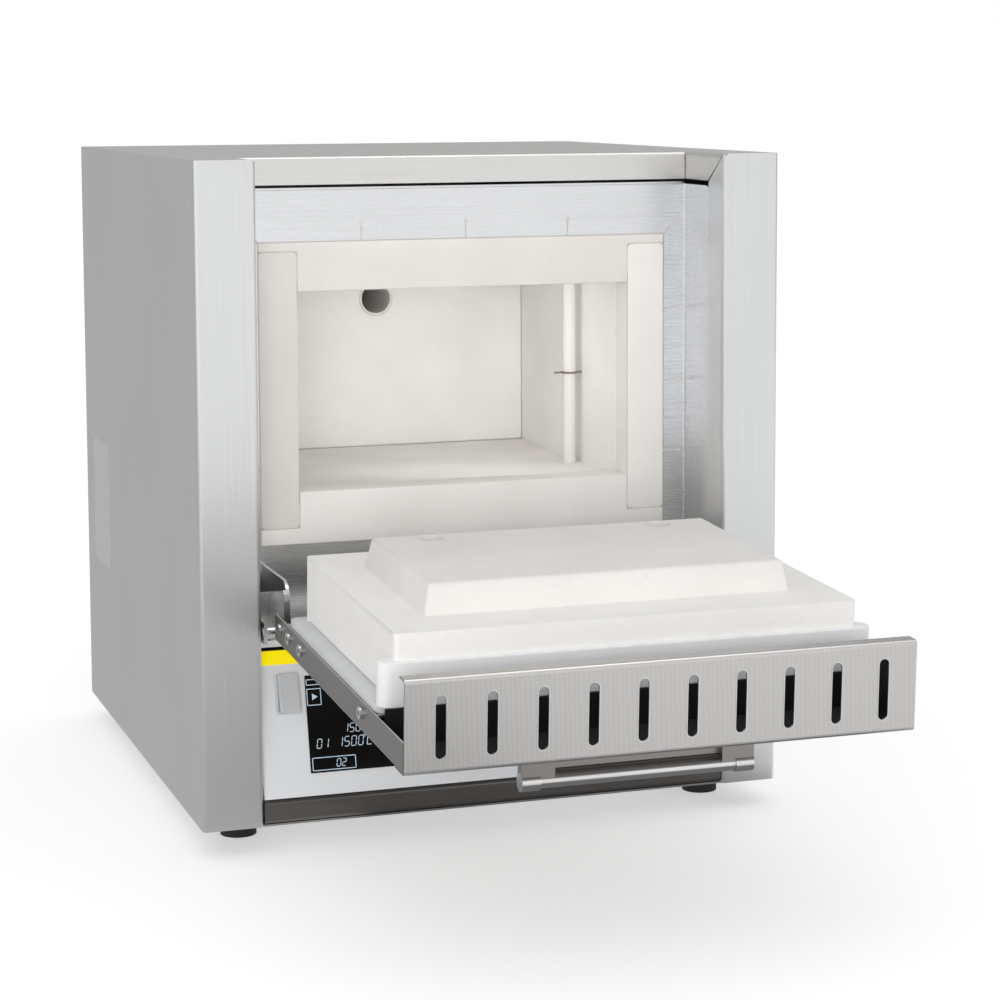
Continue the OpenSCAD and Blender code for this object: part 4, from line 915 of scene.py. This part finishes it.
@dataclass
class Readout:
    """Digits and symbols of the programmer's display, on its glass."""

    digit_mm: float = 8.0
    stroke_mm: float = 0.62
    slant: float = 0.16
    rise_mm: float = 0.06
    glass_thick_mm: float = 3.0

    # bars lit for each digit, in the order that seven_bars gives them
    LIT = {"0": "1111110", "1": "0110000", "2": "1101101", "5": "1011011"}

    # text, left edge and foot in millimetres from the glass's middle, and height in digits
    NUMBERS = (("150", -33, -8, 0.8), ("1500", -38.5, -18.5, 0.9), ("01", -54.5, -18.5, 0.85),
               ("02", -40, -33, 0.7), ("00", 12, 14, 1.5))

    # left edge, lower edge, width and height of each field's outline
    FIELDS = ((-59.3, 14.2, 10.6, 12.2), (-59.3, 29.5, 10.6, 4), (-58.5, -35, 33.5, 9.4), (24, -34, 31, 10))

    def build(self) -> None:
        """Models the symbols flat and lays them on the leaning glass."""
        bars = [*self.arrow(-54, 20.4), *self.degree(-18.5, -18.5)]
        for text, x, y, tall in self.NUMBERS:
            bars += self.number(text, x, y, self.digit_mm * tall)
        for field in self.FIELDS:
            bars += self.boxed(*field)
        piece = joined(bars)
        piece.matrix_world = self.glass_place()
        finish_piece(piece, "display_readout", Finish.MARK, "furnace")

    def glass_place(self) -> Matrix:
        """Gives the place of the glass's middle, X to the right, Y up the glass and Z out of it.

        Returns:
            The matrix from the flat drawing, in metres, to the furnace.
        """
        low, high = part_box("display_glass")
        up = Vector((0, math.sin(PANEL_LEAN), math.cos(PANEL_LEAN)))
        out = Vector((0, -math.cos(PANEL_LEAN), math.sin(PANEL_LEAN)))
        lift = self.glass_thick_mm * MM * math.sin(PANEL_LEAN)
        height = (high.z - low.z - lift) / math.cos(PANEL_LEAN)
        foot = Vector(((low.x + high.x) / 2, low.y, low.z + lift))
        middle = foot + up * height / 2 + out * 0.02 * MM
        turn = Matrix((Vector((1, 0, 0)), up, out)).transposed()
        return Matrix.Translation(middle) @ turn.to_4x4()

    def bar(self, start: tuple[float, float], end: tuple[float, float]) -> Piece:
        """Models one lit bar with pointed ends between two places, in millimetres.

        Args:
            start: Its first end on the flat drawing.
            end: Its other end.

        Returns:
            The bar.
        """
        a, b = Vector((*start, 0)) * MM, Vector((*end, 0)) * MM
        way = b - a
        size = (way.length, self.stroke_mm * MM, 1)
        piece = fresh("plane", size, (a + b) / 2, (0, 0, math.atan2(way.y, way.x)))
        bpy.ops.mesh.bevel(offset=self.stroke_mm * MM * 0.3, segments=1, affect="VERTICES")
        thicken((0, 0, self.rise_mm * MM))
        return piece

    def seven_bars(self, wide: float, tall: float) -> list[tuple[Vector, Vector]]:
        """Gives the seven bars of an upright digit, shortened to part at their ends.

        Args:
            wide: The digit's width.
            tall: Its height.

        Returns:
            The ends of the bars: top, upper right, lower right, bottom, lower left, upper left, middle.
        """
        half, gap = tall / 2, self.stroke_mm * 0.45
        corners = [(0, tall), (wide, tall), (wide, half), (wide, 0), (0, 0), (0, half), (0, tall)]
        ends = [*zip(corners, corners[1:]), ((0, half), (wide, half))]
        bars = []
        for start, end in ends:
            a, b = Vector(start), Vector(end)
            way = (b - a).normalized() * gap
            bars.append((a + way, b - way))
        return bars

    def number(self, text: str, x: float, y: float, tall: float) -> list[Piece]:
        """Models slanted seven-bar digits.

        Args:
            text: The digits.
            x: Left edge in millimetres from the glass's middle.
            y: Foot of the digits.
            tall: Their height.

        Returns:
            The bars.
        """
        wide = tall * 0.5
        bars = []
        for i, digit in enumerate(text):
            left = x + i * (wide + tall * 0.26)
            for ends, lit in zip(self.seven_bars(wide, tall), self.LIT[digit]):
                if lit == "1":
                    bars.append(self.bar(*((left + p.x + p.y * self.slant, y + p.y) for p in ends)))
        return bars

    def boxed(self, x: float, y: float, wide: float, tall: float) -> list[Piece]:
        """Models the outline of a touch field from its lower left corner and its size in millimetres."""
        corners = [(x, y), (x + wide, y), (x + wide, y + tall), (x, y + tall)]
        return [self.bar(corners[i], corners[(i + 1) % 4]) for i in range(4)]

    def arrow(self, x: float, y: float) -> list[Piece]:
        """Models the filled triangle that starts a programme.

        Args:
            x: Its middle in millimetres.
            y: Its middle.

        Returns:
            The triangle.
        """
        deselect()
        rise = self.rise_mm * MM
        bpy.ops.mesh.primitive_cylinder_add(vertices=3, radius=2.9 * MM, depth=rise,
                                            location=(x * MM, y * MM, rise / 2), rotation=(0, 0, -QUARTER_TURN))
        piece = bpy.context.object
        bake(place=False)
        mode("EDIT")
        points = piece.data.vertices
        pick(piece, "EDGE", lambda e: abs(points[e.vertices[0]].co.z - points[e.vertices[1]].co.z) > 1e-6)
        bpy.ops.mesh.bevel(offset=0.25 * MM, segments=2, affect="EDGES")
        mode("OBJECT")
        return [piece]

    def degree(self, x: float, y: float) -> list[Piece]:
        """Models the degree ring and the C beside a temperature.

        Args:
            x: Left edge in millimetres.
            y: Foot of the digits beside it.

        Returns:
            The pieces.
        """
        tall = self.digit_mm
        deselect()
        bpy.ops.mesh.primitive_torus_add(major_radius=0.9 * MM, minor_radius=0.24 * MM, major_segments=16,
                                         minor_segments=6, location=((x + 1.6) * MM, (y + tall - 1) * MM, 0))
        ring = bpy.context.object
        ring.scale = (1, 1, 0.2)
        bake(place=False)
        wide, left, lean = tall * 0.45, x + 3.4, tall * self.slant
        path = [(left + lean + wide, y + tall), (left + lean, y + tall), (left, y), (left + wide, y)]
        return [ring, *(self.bar(start, end) for start, end in zip(path, path[1:]))]


@dataclass
class ControlFace:
    """Leaning control panel with its film, display and power switch."""

    cap_size_mm: tuple[float, float, float] = (16.6, 30.5, 3.8)
    cap_edge_mm: float = 1.5
    cap_rise_mm: float = 7.1
    cap_tilt: float = math.radians(-8)
    cap_rim_mm: float = 1.2
    cap_dish_mm: float = 0.35

    def build(self) -> None:
        """Dresses the panel's parts and adds the readout."""
        dress(Finish.PANEL, "control_panel")
        dress(Finish.YELLOW, "warning_band")
        dress(Finish.GLASS, "display_glass")
        dress(Finish.BEZEL, "switch_bezel")
        self.rocker_cap()
        dress(Finish.PLASTIC, "controller_module", "power_relay", "mains_inlet")
        dress(Finish.CREAM, "terminal_block")
        Readout().build()

    def rocker_cap(self) -> None:
        """Models the rocker's long moulded cap, with round edges and a dished face."""
        hinge = next(j for j in frame["joints"] if j["name"] == "rocker_hinge")
        cap = fresh("cube", [v * MM for v in self.cap_size_mm])
        bpy.ops.mesh.bevel(offset=self.cap_edge_mm * MM, segments=4, affect="EDGES")
        mode("OBJECT")
        widest = max(cap.data.polygons, key=lambda f: f.area * (f.normal.z > 0.9)).index
        mode("EDIT")
        pick(cap, "FACE", lambda f: f.index == widest)
        bpy.ops.mesh.inset(thickness=self.cap_rim_mm * MM, depth=-self.cap_dish_mm * MM)
        mode("OBJECT")
        bpy.ops.object.shade_smooth_by_angle(angle=math.radians(40))
        lean = Matrix.Rotation(QUARTER_TURN - PANEL_LEAN, 4, "X") @ Matrix.Rotation(self.cap_tilt, 4, "X")
        rise = Matrix.Translation((0, 0, self.cap_rise_mm * MM))
        cap.matrix_world = Matrix.Translation(hinge["pos_m"]) @ lean @ rise
        finish_piece(cap, "rocker_cap", Finish.SWITCH, "rocker")
        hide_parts("power_rocker")


# --- studio ---------------------------------------------------------------------------


@dataclass
class Studio:
    """Pale floor, white surroundings, grey cards for the steel to mirror, soft lamps and the camera.

    The camera stands at eye_mm, turned by heading from the depth axis and by dip below level.
    The powers are in watts, and a card's tone is its brightness, where 1 is white.
    """

    eye_mm: tuple[float, float, float] = (-624.32, -1953.74, 573.26)
    heading: float = 0.323365
    dip: float = 0.101087
    roll: float = -0.004136
    focal_px: float = 2607.90
    rise: float = -0.15
    key: float = 7.0
    fill: float = 27.0
    mouth: float = 0.065
    mouth_size: tuple[float, float] = (0.14, 0.06)
    floor_tone: float = 0.82
    world: float = 0.73
    grey: float = 0.52

    def build(self) -> None:
        """Sets the floor, the world, the lamps and the camera."""
        self.floor()
        self.surroundings()
        self.lamp("key_lamp", (-1.2, -2.6, 1.2), 1.6, self.key)
        self.lamp("front_lamp", (-0.7, -2.8, 0.3), 1.2, self.fill)
        self.mouth_lamp()
        upright, flat = QUARTER_TURN, (0, 0, 0)
        # far cards, which give every side of the steel its grey
        self.card("left_card", (-4.2, 0.8, 1.7), (0, upright, 0), (3.4, 6.8), self.grey)
        self.card("right_card", (4.2, 0.8, 1.7), (0, upright, 0), (3.4, 6.8), self.grey)
        self.card("back_card", (0, 4.2, 1.7), (upright, 0, 0), (8.4, 3.4), self.grey)
        self.card("top_card", (0, 0.8, 3.4), flat, (8.4, 6.8), self.grey)
        self.card("left_floor_card", (-2.2175, 1.9, 0.0006), flat, (3.965, 4.6), self.grey)
        # floor cards, which shade the front sheets and the lower half of the handle
        self.card("left_front_card", (-0.75, -0.72, 0.0006), flat, (1.5, 1.2), 0.41)
        self.card("right_front_card", (0.75, -0.72, 0.0006), flat, (1.5, 1.2), 0.85)
        self.card("under_door_card", (0.08, -0.33, 0.0009), flat, (0.36, 0.5), 0.18)
        # bright cards, which draw the folds' edges and the glint along the handle
        self.card("fold_card", (-3.0, -1.0, 0.9), (0, upright, math.atan2(1.0, 3.0)), (2.4, 0.9), 2.6)
        self.card("overhead_card", (0.7, -0.6, 2.7), flat, (1.3, 0.9), 3.4)
        self.camera()
        bpy.context.scene.view_settings.view_transform = "Standard"

    def floor(self) -> None:
        """Adds the floor, which looks white where nothing shades it."""
        deselect()
        bpy.ops.mesh.primitive_plane_add(size=24, location=(0, 0, -0.0002))
        plane = bpy.context.object
        plane.name = "studio_floor"
        material = bpy.data.materials.new("white_studio_floor")
        tree = emptied(material)
        tone = self.floor_tone
        matte = add(tree, "BsdfDiffuse", {"Color": (tone, tone, tone, 1)})
        # what the surroundings' light leaves short of white
        missing = self.seen_directly(tree, 1.02 - tone * self.world)
        glow = add(tree, "Emission", {"Color": (1, 1, 1, 1), "Strength": missing})
        both = add(tree, "AddShader", {0: matte.outputs[0], 1: glow.outputs[0]})
        add(tree, "OutputMaterial", {"Surface": both.outputs[0]})
        plane.data.materials.append(material)

    def seen_directly(self, tree: Tree, strength: float) -> Socket:
        """Gives a strength for rays that show the background itself or its mirror image.

        Args:
            tree: The node tree.
            strength: The value for those rays.

        Returns:
            The strength, 0 for all other rays.
        """
        path = add(tree, "LightPath")
        first = maths(tree, "MAXIMUM", path.outputs["Is Camera Ray"], path.outputs["Is Glossy Ray"])
        seen = maths(tree, "MAXIMUM", first, path.outputs["Is Transmission Ray"])
        return maths(tree, "MULTIPLY", seen, strength)

    def surroundings(self) -> None:
        """Makes the world white to the eye and softer as light."""
        world = bpy.data.worlds.new("white_surroundings")
        bpy.context.scene.world = world
        tree = emptied(world)
        total = maths(tree, "ADD", self.seen_directly(tree, 1.0 - self.world), self.world)
        light = add(tree, "Background", {"Color": (1, 1, 1, 1), "Strength": total})
        add(tree, "OutputWorld", {"Surface": light.outputs[0]})

    def card(self, name: str, place: tuple[float, float, float], turn: tuple[float, float, float],
             size: tuple[float, float], tone: float) -> None:
        """Adds a grey card that only mirrored rays see, so that steel facing it looks darker.

        Args:
            name: The card's name.
            place: Its middle, in metres.
            turn: Its rotation.
            size: Its sides in metres.
            tone: Its brightness, where 1 is white.
        """
        deselect()
        bpy.ops.mesh.primitive_plane_add(size=1, location=place, rotation=turn)
        card = bpy.context.object
        card.scale = (*size, 1)
        card.name = name
        card.visible_camera = card.visible_diffuse = card.visible_shadow = card.visible_transmission = False
        material = bpy.data.materials.new(f"{name}_grey")
        tree = emptied(material)
        glow = add(tree, "Emission", {"Color": (1, 1, 1, 1), "Strength": tone})
        add(tree, "OutputMaterial", {"Surface": glow.outputs[0]})
        card.data.materials.append(material)

    def mouth_lamp(self) -> None:
        """Adds a soft lamp in the chamber's mouth, turned inwards, which lights only its inside."""
        low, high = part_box("chamber_rear_plate")
        data = bpy.data.lights.new("chamber_lamp", "AREA")
        data.shape = "RECTANGLE"
        data.size, data.size_y = self.mouth_size
        data.energy = self.mouth
        middle = (low + high) / 2
        self.aim(data, (middle.x, 0.03, middle.z + 0.018), middle + Vector((0.11, 0, 0.03)))

    def aim(self, data: bpy.types.Light, place: tuple[float, float, float], target: Vector) -> None:
        """Puts a lamp at its place, turned to its target, out of sight of mirrored rays.

        Args:
            data: The lamp's data.
            place: Where it stands, in metres.
            target: What it is turned to.
        """
        lamp = bpy.data.objects.new(data.name, data)
        bpy.context.scene.collection.objects.link(lamp)
        lamp.location = place
        lamp.visible_glossy = lamp.visible_camera = False
        lamp.rotation_euler = (target - Vector(place)).to_track_quat("-Z", "Y").to_euler()

    def lamp(self, name: str, place: tuple[float, float, float], size: float, power: float) -> None:
        """Adds a square soft lamp aimed at the furnace.

        Args:
            name: The lamp's name.
            place: Where it stands, in metres.
            size: Its side in metres.
            power: Its power in watts.
        """
        data = bpy.data.lights.new(name, "AREA")
        data.size, data.energy = size, power
        self.aim(data, place, Vector((0, 0, 0.25)))

    def camera(self) -> None:
        """Adds the camera at its measured place and makes it the scene's own."""
        data = bpy.data.cameras.new("camera")
        data.sensor_width = 36.0
        data.lens = self.focal_px * 36.0 / 1000.0
        data.shift_y = self.rise
        data.clip_start, data.clip_end = 0.05, 60.0
        camera = bpy.data.objects.new("camera", data)
        bpy.context.scene.collection.objects.link(camera)
        east, north = math.sin(self.heading), math.cos(self.heading)
        ahead = Vector((east * math.cos(self.dip), north * math.cos(self.dip), -math.sin(self.dip)))
        level = Vector((north, -east, 0))
        upright = level.cross(ahead)
        right = level * math.cos(self.roll) + upright * math.sin(self.roll)
        up = upright * math.cos(self.roll) - level * math.sin(self.roll)
        turn = Matrix((right, up, -ahead)).transposed()
        camera.matrix_world = Matrix.Translation(Vector(self.eye_mm) * MM) @ turn.to_4x4()
        bpy.context.scene.camera = camera


def main() -> None:
    """Builds the furnace's sub-assemblies in order, then the studio."""
    logging.basicConfig(level=logging.INFO, format="%(message)s")
    for part in (Casing(), HotBox(), Door(), ControlFace(), Studio()):
        part.build()
        log.info("%s done", type(part).__name__)


if __name__ == "__main__":
    main()
